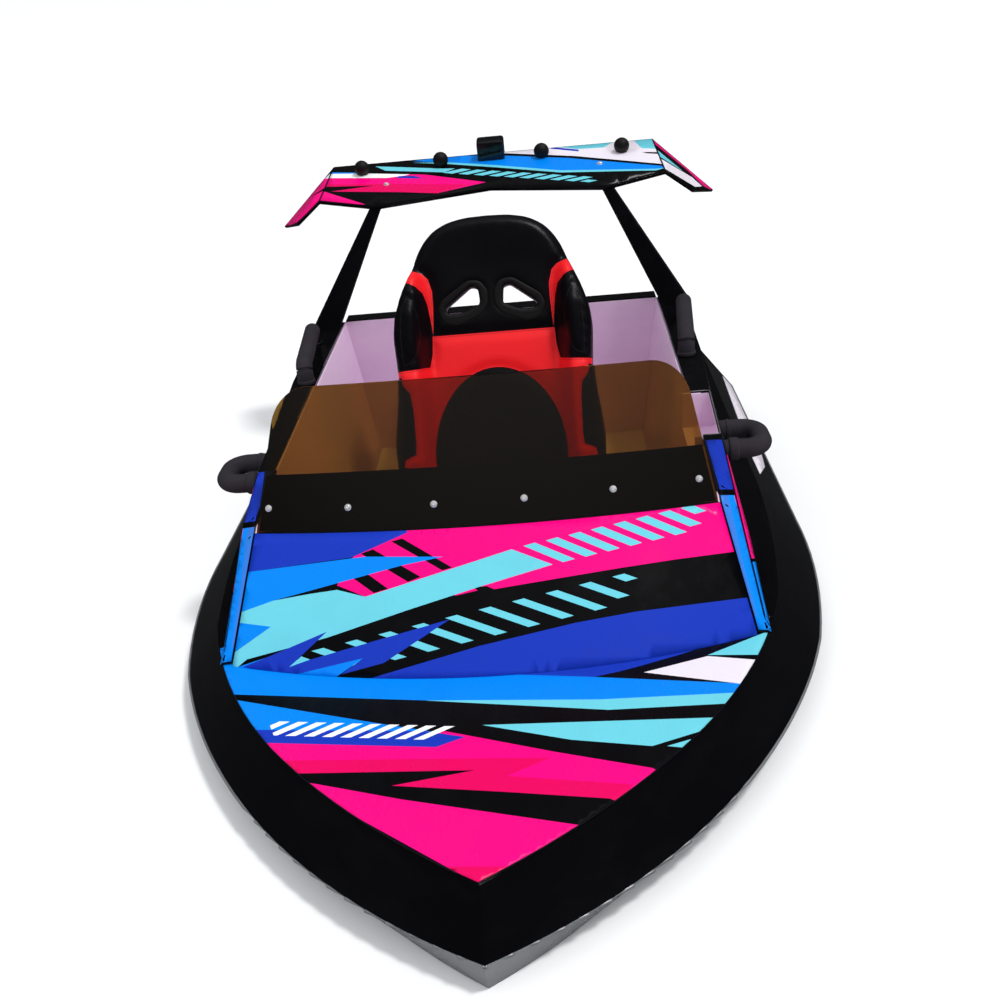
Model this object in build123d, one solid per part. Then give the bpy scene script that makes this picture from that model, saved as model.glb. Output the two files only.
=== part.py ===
from build123d import *
from math import cos, radians, sin, tan
import os

os.makedirs("parts", exist_ok=True)

# Single-seat water kart: a small plate-aluminium jet boat with a bucket seat,
# a smoked windscreen and a raised rear wing. Millimetres, +Z up, bow towards -Y,
# port side towards +X. The origin is on the centreline at the waterline.

# Main heights
KEEL_Z = -160.0
FLOOR_TOP_Z = -22.0
CHINE_Z = 65.0
DECK_Z = 190.0
CAP_Z = 433.0

# Places along the boat
STEM_FOOT_Y = -1296.0
DECK_TIP_Y = -1250.0
REAR_WALL_Y = 920.0
TRANSOM_Y = 1100.0

# Plate thicknesses and clearances
PLATE = 4.0
HULL_PLATE = 5.0
TRANSOM_PLATE = 6.0
SEAT_GAP = 0.3

# Edge of the deck and of the chine, bow to stern, as (half breadth, y).
# Every second point is the middle of an arc, the last run aft is straight.
DECK_EDGE = (
    (0, DECK_TIP_Y), (197, -1100), (386, -900), (509, -700), (598, -450), (632, -180), (645, 100),
)
DECK_AFT_HALF = 640.0
CHINE_EDGE = (
    (0, STEM_FOOT_Y), (226, -1150), (463, -900), (586, -700), (688, -450), (731, -230), (748, 100),
)
CHINE_AFT_HALF = 738.0

# Stem and keel line under the chine, as (y, z), in the same arcs as the chine
KEEL_LINE = (
    (STEM_FOOT_Y, CHINE_Z), (-1238, -70), (-1050, -138), (-860, -153), (-620, KEEL_Z),
    (-300, KEEL_Z), (100, KEEL_Z),
)


def save(name, shape):
    """Write one piece of the boat."""
    shape.label = name
    export_step(shape, f"parts/{name}.step")


def mirrored(shape):
    """The same piece on the other side of the centreline."""
    return shape.mirror(Plane.YZ)


def both_sides(name, port_piece):
    """Write a port piece and its starboard twin."""
    save(f"{name}_port", port_piece)
    save(f"{name}_starboard", mirrored(port_piece))


def half_edges(points, aft_half, z):
    """Port half of a deck-like outline: three arcs and a straight run."""
    spots = [Vector(x, y, z) for x, y in points]
    arcs = [Edge.make_three_point_arc(*spots[i:i + 3]) for i in (0, 2, 4)]
    return arcs + [Edge.make_line(spots[-1], Vector(aft_half, TRANSOM_Y, z))]


def outline(points, aft_half, z):
    """Closed outline of the boat at one height."""
    port = half_edges(points, aft_half, z)
    starboard = [edge.mirror(Plane.YZ) for edge in port]
    stern = Edge.make_line(Vector(aft_half, TRANSOM_Y, z), Vector(-aft_half, TRANSOM_Y, z))
    return Wire(port + [stern] + starboard)


def inset(points, by):
    """Outline points moved inwards by a plate's width."""
    tip = (0, points[0][1] + 1.4 * by)
    return [tip] + [(x - by, y) for x, y in points[1:]]


def prism_x(points, x_low, x_high):
    """Solid with a (y, z) profile, running across the boat."""
    face = Face(Wire.make_polygon([Vector(x_low, y, z) for y, z in points]))
    return Solid.extrude(face, Vector(x_high - x_low, 0, 0))


def prism_y(points, y_low, y_high):
    """Solid with an (x, z) profile, running along the boat."""
    face = Face(Wire.make_polygon([Vector(x, y_low, z) for x, z in points]))
    return Solid.extrude(face, Vector(0, y_high - y_low, 0))


def prism_z(points, z_low, z_high):
    """Solid with an (x, y) profile, standing upright."""
    face = Face(Wire.make_polygon([Vector(x, y, z_low) for x, y in points]))
    return Solid.extrude(face, Vector(0, 0, z_high - z_low))


def block(x_range, y_range, z_range):
    """Rectangular solid from its ranges."""
    (x0, x1), (y0, y1), (z0, z1) = x_range, y_range, z_range
    return prism_z([(x0, y0), (x1, y0), (x1, y1), (x0, y1)], z0, z1)


def round_bar(start, end, radius):
    """Round solid between two points."""
    start, end = Vector(*start), Vector(*end)
    return Solid.make_cylinder(radius, (end - start).length, Plane(origin=start, z_dir=end - start))


def tube_along(points, radii, radius):
    """Round bar bent along a path with rounded corners."""
    path = FilletPolyline(*[Vector(*p) for p in points], radius=radii)
    first = Vector(*points[1]) - Vector(*points[0])
    section = Plane(origin=Vector(*points[0]), z_dir=first) * Circle(radius)
    return sweep(section, path=path)


def plate_loft(sections):
    """Bent plate through (y, ((x, z), ...)) sections with straight rulings."""
    wires = [Wire.make_polygon([Vector(x, y, z) for x, z in points]) for y, points in sections]
    return Solid.make_loft(wires, ruled=True)


# Hull bottom: two steep V plates from keel to chine, meeting in a raked stem
def bottom_volume(chine, keel, aft_half, keel_aft_z, top_z):
    """Closed volume between a chine outline and a keel line."""
    rails = half_edges(chine, aft_half, top_z)
    spots = [Vector(0, y, z) for y, z in keel]
    keel_edges = [Edge.make_three_point_arc(*spots[i:i + 3]) for i in (0, 2)]
    keel_edges.append(Edge.make_line(spots[4], spots[6]))
    keel_edges.append(Edge.make_line(spots[6], Vector(0, TRANSOM_Y, keel_aft_z)))
    port = [Face.make_surface_from_curves(a, b) for a, b in zip(rails, keel_edges)]
    starboard = [face.mirror(Plane.YZ) for face in port]
    top = Face(outline(chine, aft_half, top_z))
    stern_corners = ((aft_half, top_z), (-aft_half, top_z), (0, keel_aft_z))
    stern = Face(Wire.make_polygon([Vector(x, TRANSOM_Y, z) for x, z in stern_corners]))
    return Solid(Shell(port + starboard + [top, stern]))


hull_volume = bottom_volume(CHINE_EDGE, KEEL_LINE, CHINE_AFT_HALF, KEEL_Z, CHINE_Z)
bilge_inset = 1.6 * HULL_PLATE
bilge_chine = inset(CHINE_EDGE, bilge_inset)
bilge_keel = [(bilge_chine[0][1], CHINE_Z)]
bilge_keel += [(y + (2.6 * HULL_PLATE if i == 0 else 0), z + 1.1 * HULL_PLATE)
               for i, (y, z) in enumerate(KEEL_LINE[1:])]
bilge_volume = bottom_volume(bilge_chine, bilge_keel, CHINE_AFT_HALF - bilge_inset,
                             KEEL_Z + 1.1 * HULL_PLATE, CHINE_Z)

hull_shell = hull_volume - bilge_volume

# Jet intake: a mouth in the bottom plates and a tunnel rising to the pump
PUMP_Z = -70.0
DUCT_RADIUS = 65.0
MOUTH_HALF = 60.0
MOUTH_FRONT_Y = 830.0
MOUTH_REAR_Y = 990.0
TUNNEL_WALL = 12.0
ROOF_END_Y = 1040.0
mouth_front_z = KEEL_Z - 20
duct_cut = prism_x([
    (MOUTH_FRONT_Y, mouth_front_z), (MOUTH_REAR_Y, mouth_front_z), (MOUTH_REAR_Y, KEEL_Z + 20),
    (ROOF_END_Y, PUMP_Z - DUCT_RADIUS), (ROOF_END_Y, PUMP_Z + DUCT_RADIUS), (MOUTH_FRONT_Y, KEEL_Z + 45),
], -MOUTH_HALF, MOUTH_HALF)
duct_cut += round_bar((0, ROOF_END_Y - 30, PUMP_Z), (0, TRANSOM_Y + 1, PUMP_Z), DUCT_RADIUS)
tunnel_half = DUCT_RADIUS + TUNNEL_WALL
tunnel_block = prism_x([
    (MOUTH_FRONT_Y - 25, mouth_front_z), (TRANSOM_Y, mouth_front_z), (TRANSOM_Y, PUMP_Z + tunnel_half),
    (ROOF_END_Y - 10, PUMP_Z + tunnel_half), (MOUTH_FRONT_Y - 25, KEEL_Z + 60),
], -tunnel_half, tunnel_half)
SHAFT_RADIUS = 12.0
SHAFT_ROOM = 5.5
shaft_way = round_bar((0, MOUTH_FRONT_Y - 60, PUMP_Z), (0, TRANSOM_Y, PUMP_Z), SHAFT_RADIUS + SHAFT_ROOM)
intake_tunnel = (tunnel_block & bilge_volume) - duct_cut - shaft_way
mouth_cut = block((-MOUTH_HALF, MOUTH_HALF), (MOUTH_FRONT_Y, MOUTH_REAR_Y), (KEEL_Z - 20, PUMP_Z - 20))
save("hull_bottom", hull_shell - mouth_cut)
save("intake_tunnel", intake_tunnel)

# Intake grate: bars along the mouth, let into its front and rear edges
GRATE_BAR = 5.0
GRATE_XS = (-36, -12, 12, 36)
grate_z = KEEL_Z + 24
grate = block((-MOUTH_HALF, MOUTH_HALF), (MOUTH_FRONT_Y, MOUTH_FRONT_Y + 10), (grate_z, grate_z + 8))
grate += block((-MOUTH_HALF, MOUTH_HALF), (MOUTH_REAR_Y - 10, MOUTH_REAR_Y), (grate_z, grate_z + 8))
for x in GRATE_XS:
    bar_front, bar_rear = (x, MOUTH_FRONT_Y + 5, grate_z + 4), (x, MOUTH_REAR_Y - 5, grate_z + 4)
    grate += round_bar(bar_front, bar_rear, GRATE_BAR / 2 + 1)
save("intake_grate", grate)

# Topsides: black plates that lean out from the deck's edge down to the chine
deck_underside = DECK_Z - PLATE
band_outer = Solid.make_loft([
    outline(CHINE_EDGE, CHINE_AFT_HALF, CHINE_Z), outline(DECK_EDGE, DECK_AFT_HALF, deck_underside),
], ruled=True)
band_inset = 1.4 * PLATE
band_inner = Solid.make_loft([
    outline(inset(CHINE_EDGE, band_inset), CHINE_AFT_HALF - band_inset, CHINE_Z),
    outline(inset(DECK_EDGE, band_inset), DECK_AFT_HALF - band_inset, deck_underside),
], ruled=True)
band = band_outer - band_inner
both_sides("topside", band & block((0, 900), (-1400, 1400), (0, 300)))

# Transom: plate across the stern with the pump's hole
transom = prism_y([
    (0, KEEL_Z), (CHINE_AFT_HALF, CHINE_Z), (DECK_AFT_HALF, DECK_Z), (-DECK_AFT_HALF, DECK_Z),
    (-CHINE_AFT_HALF, CHINE_Z),
], TRANSOM_Y, TRANSOM_Y + TRANSOM_PLATE)
transom -= round_bar((0, TRANSOM_Y - 5, PUMP_Z), (0, TRANSOM_Y + 20, PUMP_Z), DUCT_RADIUS)
save("transom", transom)

# Coaming and cheeks, port side, as bent plates through these sections
# y, inner edge x and z, crease x and z, foot x
CHEEK = (
    (-612, 527, 198, 546, 196, 554),
    (-443, 478, 404, 517, 366, 564),
    (-404, 478, 420, 512, 401, 567),
    (-200, 478, CAP_Z, 517, CAP_Z, 580),
)
COAMING = (
    (-200, 478, CAP_Z, 517, CAP_Z, 580),
    (100, 479, CAP_Z, 531, CAP_Z, 594),
    (400, 480, CAP_Z, 549, CAP_Z, 600),
    (REAR_WALL_Y, 484, CAP_Z, 560, CAP_Z, 604),
)


def folded_plate(stations):
    """Cap and outer wall of a cheek or coaming, folded from one plate."""
    sections = []
    for y, x_in, z_in, x_out, z_out, x_foot in stations:
        sections.append((y, (
            (x_in, z_in), (x_out, z_out), (x_foot, DECK_Z), (x_foot - PLATE, DECK_Z),
            (x_out - PLATE, z_out - PLATE), (x_in, z_in - PLATE),
        )))
    return plate_loft(sections)


both_sides("cheek", folded_plate(CHEEK))
coaming = folded_plate(COAMING)
save("coaming_starboard", mirrored(coaming))

# The port coaming has an armrest recess, lined like the cockpit
RECESS_Y = (-170.0, 100.0)
RECESS_Z = 340.0
RECESS_PLAY = 14.5


def wall_inside(y, z):
    """Inner face of the port coaming's outer wall over its first run."""
    fore, aft = COAMING[:2]
    share = (y - fore[0]) / (aft[0] - fore[0])
    x_crease = fore[3] + (aft[3] - fore[3]) * share
    x_foot = fore[5] + (aft[5] - fore[5]) * share
    return x_crease + (x_foot - x_crease) * (CAP_Z - z) / (CAP_Z - DECK_Z) - PLATE


recess_cut = block((400, 560), RECESS_Y, (RECESS_Z, CAP_Z + 20))
band_x = wall_inside(RECESS_Y[0], CAP_Z)
wall_band = folded_plate(COAMING) & block((band_x, 640), RECESS_Y, (DECK_Z, CAP_Z - PLATE))
save("coaming_port", (coaming - recess_cut) + wall_band)

# Cockpit lining, port side: y, top x and z, floor x
LINING = (
    (-560, 488, 244, 352),
    (-443, 478, 400, 384),
    (-404, 478, 416, 400),
    (-200, 478, CAP_Z - PLATE, 414),
    (400, 480, CAP_Z - PLATE, 414),
    (REAR_WALL_Y, 484, CAP_Z - PLATE, 414),
)
floor_underside = FLOOR_TOP_Z - PLATE
lining_sections = []
for y, x_top, z_top, x_floor in LINING:
    top_corners = [(x_top, z_top), (x_top - PLATE, z_top)]
    lining_sections.append((y, top_corners + [(x_floor, floor_underside), (x_floor + PLATE, floor_underside)]))
lining = plate_loft(lining_sections)
save("lining_starboard", mirrored(lining))
lining_port = lining - block((380, 520), RECESS_Y, (RECESS_Z - PLATE, CAP_Z))
save("lining_port", lining_port)

# Ledge of the armrest recess with its two end cheeks
recess_y0, recess_y1 = RECESS_Y
LEDGE_IN_X = 459.0
END_PLAY = 5.0
ledge = prism_z([
    (LEDGE_IN_X, recess_y0), (wall_inside(recess_y0, RECESS_Z) - RECESS_PLAY, recess_y0),
    (wall_inside(recess_y1, RECESS_Z) - RECESS_PLAY, recess_y1), (LEDGE_IN_X, recess_y1),
], RECESS_Z - PLATE, RECESS_Z)
for y in (recess_y0, recess_y1 - PLATE):
    end_x = wall_inside(recess_y0, CAP_Z) - END_PLAY
    ledge += block((LEDGE_IN_X, end_x), (y, y + PLATE), (RECESS_Z - PLATE, CAP_Z - PLATE))
save("recess_ledge", ledge)

# Cockpit floor with the engine well cut out, and the footwell's front bulkhead
BOX_HALF = 230.0
BOX_FRONT_Y = 636.0
BOX_TOP_Z = 400.0
FOOTWELL_Y = LINING[0][0]
floor_port = [(x_floor, y) for y, x_top, z_top, x_floor in LINING]
floor_outline = floor_port + [(-x, y) for x, y in reversed(floor_port)]
cockpit_floor = prism_z(floor_outline, floor_underside, FLOOR_TOP_Z)
cockpit_floor -= block((8 - BOX_HALF, BOX_HALF - 8), (BOX_FRONT_Y + 8, 1000), (-60, 0))
save("cockpit_floor", cockpit_floor)
bulkhead_foot_half = LINING[0][3]
bulkhead_top_half = LINING[0][1] - 25
save("footwell_bulkhead", prism_y([
    (-bulkhead_foot_half, floor_underside), (bulkhead_foot_half, floor_underside),
    (bulkhead_top_half, deck_underside), (-bulkhead_top_half, deck_underside),
], FOOTWELL_Y - PLATE, FOOTWELL_Y))

# Rear wall of the cockpit, which also closes the coamings' aft ends
lining_foot = LINING[-1][3] + 2
coaming_crease, coaming_foot = COAMING[-1][3], COAMING[-1][5]
wall_half = [
    (0, floor_underside), (lining_foot, floor_underside), (lining_foot + 30, DECK_Z), (coaming_foot, DECK_Z),
    (coaming_crease, CAP_Z), (0, CAP_Z),
]
deck_aft_y = REAR_WALL_Y + PLATE
rear_wall = prism_y(wall_half, REAR_WALL_Y, deck_aft_y)
rear_wall += mirrored(rear_wall)
save("rear_wall", rear_wall)

# Cap strip folded aft over the rear wall, between the struts
CAP_STRIP = 60.0
cap_half = LINING[-1][1] - PLATE
cap_lip = block((-cap_half, cap_half), (deck_aft_y, deck_aft_y + PLATE), (CAP_Z - 25, CAP_Z))
cap_top = block((-cap_half, cap_half), (REAR_WALL_Y, REAR_WALL_Y + CAP_STRIP), (CAP_Z, CAP_Z + PLATE))
save("rear_cap", cap_lip + cap_top)

# Foot of the cowl as height, half width, y at the sides and y at the middle
COWL_BASE = (DECK_Z, 527, -618, -708)

# Deck plates round the cockpit opening
DECK_LAP = 27.0
opening_half = COWL_BASE[1] - DECK_LAP
deck = Solid.extrude(Face(outline(DECK_EDGE, DECK_AFT_HALF, deck_underside)), Vector(0, 0, PLATE))
deck -= block((-opening_half, opening_half), (FOOTWELL_Y - PLATE, deck_aft_y), (150, 220))
SIDE_DECK_FRONT_Y = -430.0
save("foredeck", deck & block((-800, 800), (-1400, SIDE_DECK_FRONT_Y), (150, 220)))
both_sides("side_deck", deck & block((0, 800), (SIDE_DECK_FRONT_Y, deck_aft_y), (150, 220)))
save("rear_deck", deck & block((-800, 800), (deck_aft_y, TRANSOM_Y), (150, 220)))


# Cowl, screen flange and windscreen: sheets bowed forwards between two levels
def bowed_sheet(levels, thickness):
    """Sheet through (z, half width, y at the sides, y at the middle) levels."""
    solids = []
    for shrink in (0, thickness):
        wires = []
        for z, half, y_side, y_mid in levels:
            left = Vector(shrink - half, y_side, z)
            right = Vector(half - shrink, y_side, z)
            arc = Edge.make_three_point_arc(left, Vector(0, y_mid + shrink, z), right)
            wires.append(Wire([arc, Edge.make_line(right, left)]))
        solids.append(Solid.make_loft(wires, ruled=True))
    return solids[0] - solids[1]


COWL_TOP = (401.0, 478, -443, -479)
save("cowl", bowed_sheet([COWL_BASE, COWL_TOP], 1.5 * PLATE))
SCREEN_FOOT = (COWL_TOP[0], 474, -443, -475)
SCREEN_HEAD = (650.0, 425, -269, -285)
SCREEN_SHEET = 6.0
SCREEN_CORNER = 80.0
screen_foot_half, screen_head_half = SCREEN_FOOT[1], SCREEN_HEAD[1] - 1
screen_outline = Polyline(
    (-screen_foot_half, SCREEN_FOOT[0] - 1), (screen_foot_half, SCREEN_FOOT[0] - 1),
    (screen_head_half, SCREEN_HEAD[0]), (-screen_head_half, SCREEN_HEAD[0]), close=True,
)
screen_face = make_face(Plane(origin=(0, 0, 0), x_dir=(1, 0, 0), z_dir=(0, -1, 0)) * screen_outline)
screen_face = fillet(screen_face.vertices().group_by(Axis.Z)[-1], SCREEN_CORNER)
screen_cutter = extrude(screen_face, 700)
windscreen = bowed_sheet([SCREEN_FOOT, SCREEN_HEAD], SCREEN_SHEET) & screen_cutter
save("windscreen", windscreen)
FLANGE_RISE = 96.0
rise = FLANGE_RISE / (SCREEN_HEAD[0] - SCREEN_FOOT[0])
behind = SCREEN_SHEET + SEAT_GAP
FLANGE_INSET = 4.0
shifts = (0, -FLANGE_INSET, behind, behind)
flange_foot = tuple(low + shift for low, shift in zip(SCREEN_FOOT, shifts))
flange_head = tuple(
    low + (high - low) * rise + shift for low, high, shift in zip(SCREEN_FOOT, SCREEN_HEAD, shifts)
)
save("screen_flange", bowed_sheet([flange_foot, flange_head], SCREEN_SHEET))

# Dash: plate across the cockpit under the flange, with a tongue for the column
DASH_Y = -430.0
COLUMN_TILT = 25.0
WHEEL_CENTRE = Vector(0, -190, 300)
column_dir = Vector(0, cos(radians(COLUMN_TILT)), sin(radians(COLUMN_TILT)))
column_length = (WHEEL_CENTRE.Y - DASH_Y) / column_dir.Y
column_foot = WHEEL_CENTRE - column_dir * column_length
dash = prism_y([
    (-448.6, 280), (-90, 270), (-55, 140), (55, 140), (90, 270), (448.6, 280), (471.4, 396), (-471.4, 396),
], DASH_Y - PLATE, DASH_Y)
COLUMN_RADIUS = 17.0
STEER_SHAFT_RADIUS = 9.0
FIT = 0.05
column_top = WHEEL_CENTRE - column_dir * 45
column = Solid.make_cylinder(COLUMN_RADIUS, (column_top - column_foot).length,
                             Plane(origin=column_foot, z_dir=column_dir))
steer_bore = Solid.make_cylinder(STEER_SHAFT_RADIUS + FIT, 600,
                                 Plane(origin=column_foot - column_dir * 100, z_dir=column_dir))
save("dash", (dash + column) - steer_bore)

# Steering wheel: three spokes, a dished hub and its shaft
WHEEL_RADIUS = 130.0
RIM_RADIUS = 13.0
wheel_plane = Plane(origin=WHEEL_CENTRE, x_dir=(1, 0, 0), z_dir=column_dir)
wheel = wheel_plane * Solid.make_torus(WHEEL_RADIUS - RIM_RADIUS, RIM_RADIUS)
wheel += wheel_plane * Pos(0, 0, -12) * Cylinder(32, 18)
for angle in (0, 90, 180):
    spoke_middle = Pos((WHEEL_RADIUS - RIM_RADIUS) / 2 + 10, 0, -5)
    spoke = Rot(0, 0, angle) * spoke_middle * Box(WHEEL_RADIUS - 40, 26, 5)
    wheel += wheel_plane * spoke
save("steering_wheel", wheel)
shaft_foot = column_foot - column_dir * 20
shaft_head = WHEEL_CENTRE - column_dir * 21
save("steering_shaft", round_bar(shaft_foot, shaft_head, STEER_SHAFT_RADIUS))

# Throttle pedal: plate on a floor bracket in the footwell
pedal = prism_x([
    (-505, FLOOR_TOP_Z), (-470, FLOOR_TOP_Z), (-495, FLOOR_TOP_Z + 12), (-540, FLOOR_TOP_Z + 150),
    (-546, FLOOR_TOP_Z + 147),
], 90, 170)
save("throttle_pedal", pedal)

# Bucket seat: reclined back with side wings, harness slots and a cushion
SEAT_RECLINE = 24.0
SEAT_FACE_Y = 285.0
CUSHION_TOP_Z = 60.0
SEAT_TOP_Z = 790.0
BACK_PANEL = 70.0
WING_PROUD = 75.0
back_plane = Plane(
    origin=(0, SEAT_FACE_Y, CUSHION_TOP_Z), x_dir=(1, 0, 0),
    z_dir=(0, -cos(radians(SEAT_RECLINE)), sin(radians(SEAT_RECLINE))),
)
back_height = (SEAT_TOP_Z - CUSHION_TOP_Z) / cos(radians(SEAT_RECLINE))
# Outline of the back as (half width, height up the back): a straight foot, an arc round
# the shoulder wing, a straight run to the headrest and an arc over its top
BACK_FOOT = (160, 0)
WING_ARC = ((250, 330), (268, 475), (237, 593))
HEAD_SHOULDER = (187, 700)


def back_shape(loop, depth_from, depth_to):
    """Solid with a flat outline on the seat's face, between two depths."""
    return back_plane * (Pos(0, 0, depth_from) * extrude(make_face(loop), depth_to - depth_from))


def seat_side(up, out):
    """Place in side view of a point up the back and out from its face."""
    lean = radians(SEAT_RECLINE)
    return SEAT_FACE_Y + up * sin(lean) - out * cos(lean), CUSHION_TOP_Z + up * cos(lean) + out * sin(lean)


port_edges = [
    Line(BACK_FOOT, WING_ARC[0]), ThreePointArc(*WING_ARC), Line(WING_ARC[-1], HEAD_SHOULDER),
]
head_arc = ThreePointArc(HEAD_SHOULDER, (0, back_height), (-HEAD_SHOULDER[0], HEAD_SHOULDER[1]))
starboard_edges = [mirror(edge, Plane.YZ) for edge in port_edges]
foot_edge = Line(BACK_FOOT, (-BACK_FOOT[0], BACK_FOOT[1]))
back_loop = Wire([edge.edge() for edge in (*port_edges, head_arc, *starboard_edges, foot_edge)])
seat_back = back_shape(back_loop, -BACK_PANEL, WING_PROUD)

# The driver's hollow between the wings, open over the headrest, and the wings' taper above
HOLLOW = ((130, -60), (165, 330), (172, 480), (168, 590), (205, 668), (300, 690), (300, 900))
hollow_loop = Polyline(*HOLLOW, *[(-x, s) for x, s in reversed(HOLLOW)], close=True)
seat_back -= back_shape(hollow_loop, 0, WING_PROUD + 20)
TAPER_FROM, TAPER_TO = 540, 690
taper_top = WING_PROUD + 150
seat_back -= prism_x([
    seat_side(TAPER_FROM, WING_PROUD), seat_side(TAPER_TO, 0), seat_side(back_height + 50, 0),
    seat_side(back_height + 50, taper_top), seat_side(TAPER_FROM, taper_top),
], -400, 400)

# Harness slots at shoulder height, port one as (x, up the back)
HARNESS_SLOT = ((28, 558), (32, 606), (54, 612), (128, 556), (126, 538), (76, 538))
for side in (1, -1):
    slot_loop = Polyline(*[(side * x, s) for x, s in HARNESS_SLOT], close=True)
    seat_back -= back_shape(slot_loop, -BACK_PANEL - 10, 10)
save("seat_back", seat_back)

SEAT_FRONT_Y = -165.0
CUSHION_RISE = 45.0
SHELL_BOTTOM_Z = FLOOR_TOP_Z + 20
seat_rear_y = 216.0
cushion_profile = [
    (SEAT_FRONT_Y, SHELL_BOTTOM_Z), (seat_rear_y, SHELL_BOTTOM_Z), (seat_rear_y, CUSHION_TOP_Z),
    (SEAT_FRONT_Y + 40, CUSHION_TOP_Z + CUSHION_RISE), (SEAT_FRONT_Y, CUSHION_TOP_Z + CUSHION_RISE - 30),
]
save("seat_cushion", prism_x(cushion_profile, -165, 165))
bolster_profile = [
    (SEAT_FRONT_Y + 20, SHELL_BOTTOM_Z), (seat_rear_y, SHELL_BOTTOM_Z), (seat_rear_y, 150),
    (SEAT_FRONT_Y + 90, 160), (SEAT_FRONT_Y + 20, 110),
]
both_sides("seat_bolster", prism_x(bolster_profile, 165 + SEAT_GAP, 240))
# Seat pan: moulded shell that joins the cushion to the back
seat_pan = prism_x([
    (SEAT_FRONT_Y + 10, SHELL_BOTTOM_Z - 8), (360, SHELL_BOTTOM_Z - 8), (370, 31.2), (343, 31.2),
    (331, SHELL_BOTTOM_Z),
    (SEAT_FRONT_Y + 10, SHELL_BOTTOM_Z),
], -200, 200)
save("seat_pan", seat_pan)
RAIL_X = 190.0
rails = [block((x - 15, x + 15), (SEAT_FRONT_Y + 40, seat_rear_y - 20), (FLOOR_TOP_Z, SHELL_BOTTOM_Z - 8))
         for x in (-RAIL_X, RAIL_X)]
save("seat_rails", Compound(rails))

# Engine box behind the seat, its hinged lid and the engine in it
BOX_WALL = 4.0
engine_box = block((-BOX_HALF, BOX_HALF), (BOX_FRONT_Y, REAR_WALL_Y), (FLOOR_TOP_Z, BOX_TOP_Z))
engine_box -= block((BOX_WALL - BOX_HALF, BOX_HALF - BOX_WALL), (BOX_FRONT_Y + BOX_WALL, REAR_WALL_Y + 1),
                    (FLOOR_TOP_Z - 1, BOX_TOP_Z + 1))
save("engine_box", engine_box)
LID_THICK = 12.0
LID_HINGE_Y = REAR_WALL_Y - 20
LID_LIP = 6.0
HINGE_RADIUS = 4.0
lid_top = BOX_TOP_Z + LID_THICK
lid_half = BOX_HALF + LID_LIP
lid = block((-lid_half, lid_half), (BOX_FRONT_Y - LID_LIP, LID_HINGE_Y), (BOX_TOP_Z + SEAT_GAP, lid_top))
hinge_half = BOX_HALF - 30
hinge_z = lid_top - HINGE_RADIUS
lid += round_bar((-hinge_half, LID_HINGE_Y, hinge_z), (hinge_half, LID_HINGE_Y, hinge_z), HINGE_RADIUS)
lid_grip = block((-60, 60), (BOX_FRONT_Y + 20, BOX_FRONT_Y + 38), (lid_top, lid_top + 16))
save("engine_lid", lid + lid_grip)
ENGINE_X = 150.0
ENGINE_Y = (652.0, 802.0)
ENGINE_Z = (-98.0, 290.0)
save("engine", block((-ENGINE_X, ENGINE_X), ENGINE_Y, ENGINE_Z))
bearer_tops = block((90, 130), (ENGINE_Y[0] - 20, ENGINE_Y[1] + 20), (-150, ENGINE_Z[0]))
bearer = bearer_tops & bilge_volume
save("engine_bearers", bearer + mirrored(bearer))

# Jet pump on the transom: housing with stator, impeller, and steering nozzle
PUMP_BORE = 70.0
PUMP_WALL = 6.0
pump_y = TRANSOM_Y + TRANSOM_PLATE
CONE_Y = pump_y + 90
CONE_LENGTH = 25.0
OUTLET_Y = CONE_Y + CONE_LENGTH + 45
OUTLET_BORE = 42.0
OUTLET_WALL = 5.0
PIVOT_Y = OUTLET_Y - 15
axis_plane = Plane(origin=(0, 0, PUMP_Z), x_dir=(1, 0, 0), z_dir=(0, 1, 0))


def turned(points):
    """Round solid about the pump's axis from (y, radius) points."""
    loop = Polyline(*[(r, y) for y, r in points], close=True)
    profile = make_face(Plane(origin=(0, 0, PUMP_Z), x_dir=(1, 0, 0), z_dir=(0, 0, 1)) * loop)
    return revolve(profile, Axis((0, 0, PUMP_Z), (0, 1, 0)))


housing = turned([
    (pump_y, DUCT_RADIUS), (pump_y, 86), (pump_y + 10, 86), (pump_y + 10, PUMP_BORE + PUMP_WALL),
    (CONE_Y, PUMP_BORE + PUMP_WALL), (CONE_Y + CONE_LENGTH, OUTLET_BORE + OUTLET_WALL),
    (OUTLET_Y, OUTLET_BORE + OUTLET_WALL), (OUTLET_Y, OUTLET_BORE), (CONE_Y + CONE_LENGTH, OUTLET_BORE),
    (CONE_Y, PUMP_BORE), (pump_y + 10, PUMP_BORE), (pump_y + 10, DUCT_RADIUS),
])
STATOR_HUB = 24.0
hub_y = pump_y + 66
tail_y = OUTLET_Y - 20
housing += turned([(hub_y, 0), (hub_y, STATOR_HUB), (CONE_Y, STATOR_HUB), (tail_y, 5), (tail_y, 0)])
for k in range(5):
    vane = Pos(0, hub_y + 12, 0) * Box(3, 24, PUMP_BORE - STATOR_HUB + 8)
    vane = Pos(0, 0, (PUMP_BORE + STATOR_HUB) / 2) * vane
    housing += Pos(0, 0, PUMP_Z) * vane.rotate(Axis.Y, 72 * k)
EAR_RISE = 78.0
EAR_THICK = 8.0
PIN_RADIUS = 6.0
for up in (1, -1):
    z_near, z_far = sorted((PUMP_Z + up * EAR_RISE, PUMP_Z + up * (EAR_RISE + EAR_THICK)))
    ear = block((-14, 14), (pump_y, PIVOT_Y + 14), (z_near, z_far))
    ear -= round_bar((0, PIVOT_Y, z_near - 2), (0, PIVOT_Y, z_far + 2), PIN_RADIUS + FIT)
    web_z = sorted((PUMP_Z + up * (PUMP_BORE + 4), PUMP_Z + up * (EAR_RISE + 1)))
    web = block((-4, 4), (pump_y + 10, CONE_Y), web_z)
    housing += ear + web
save("pump_housing", housing)

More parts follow.
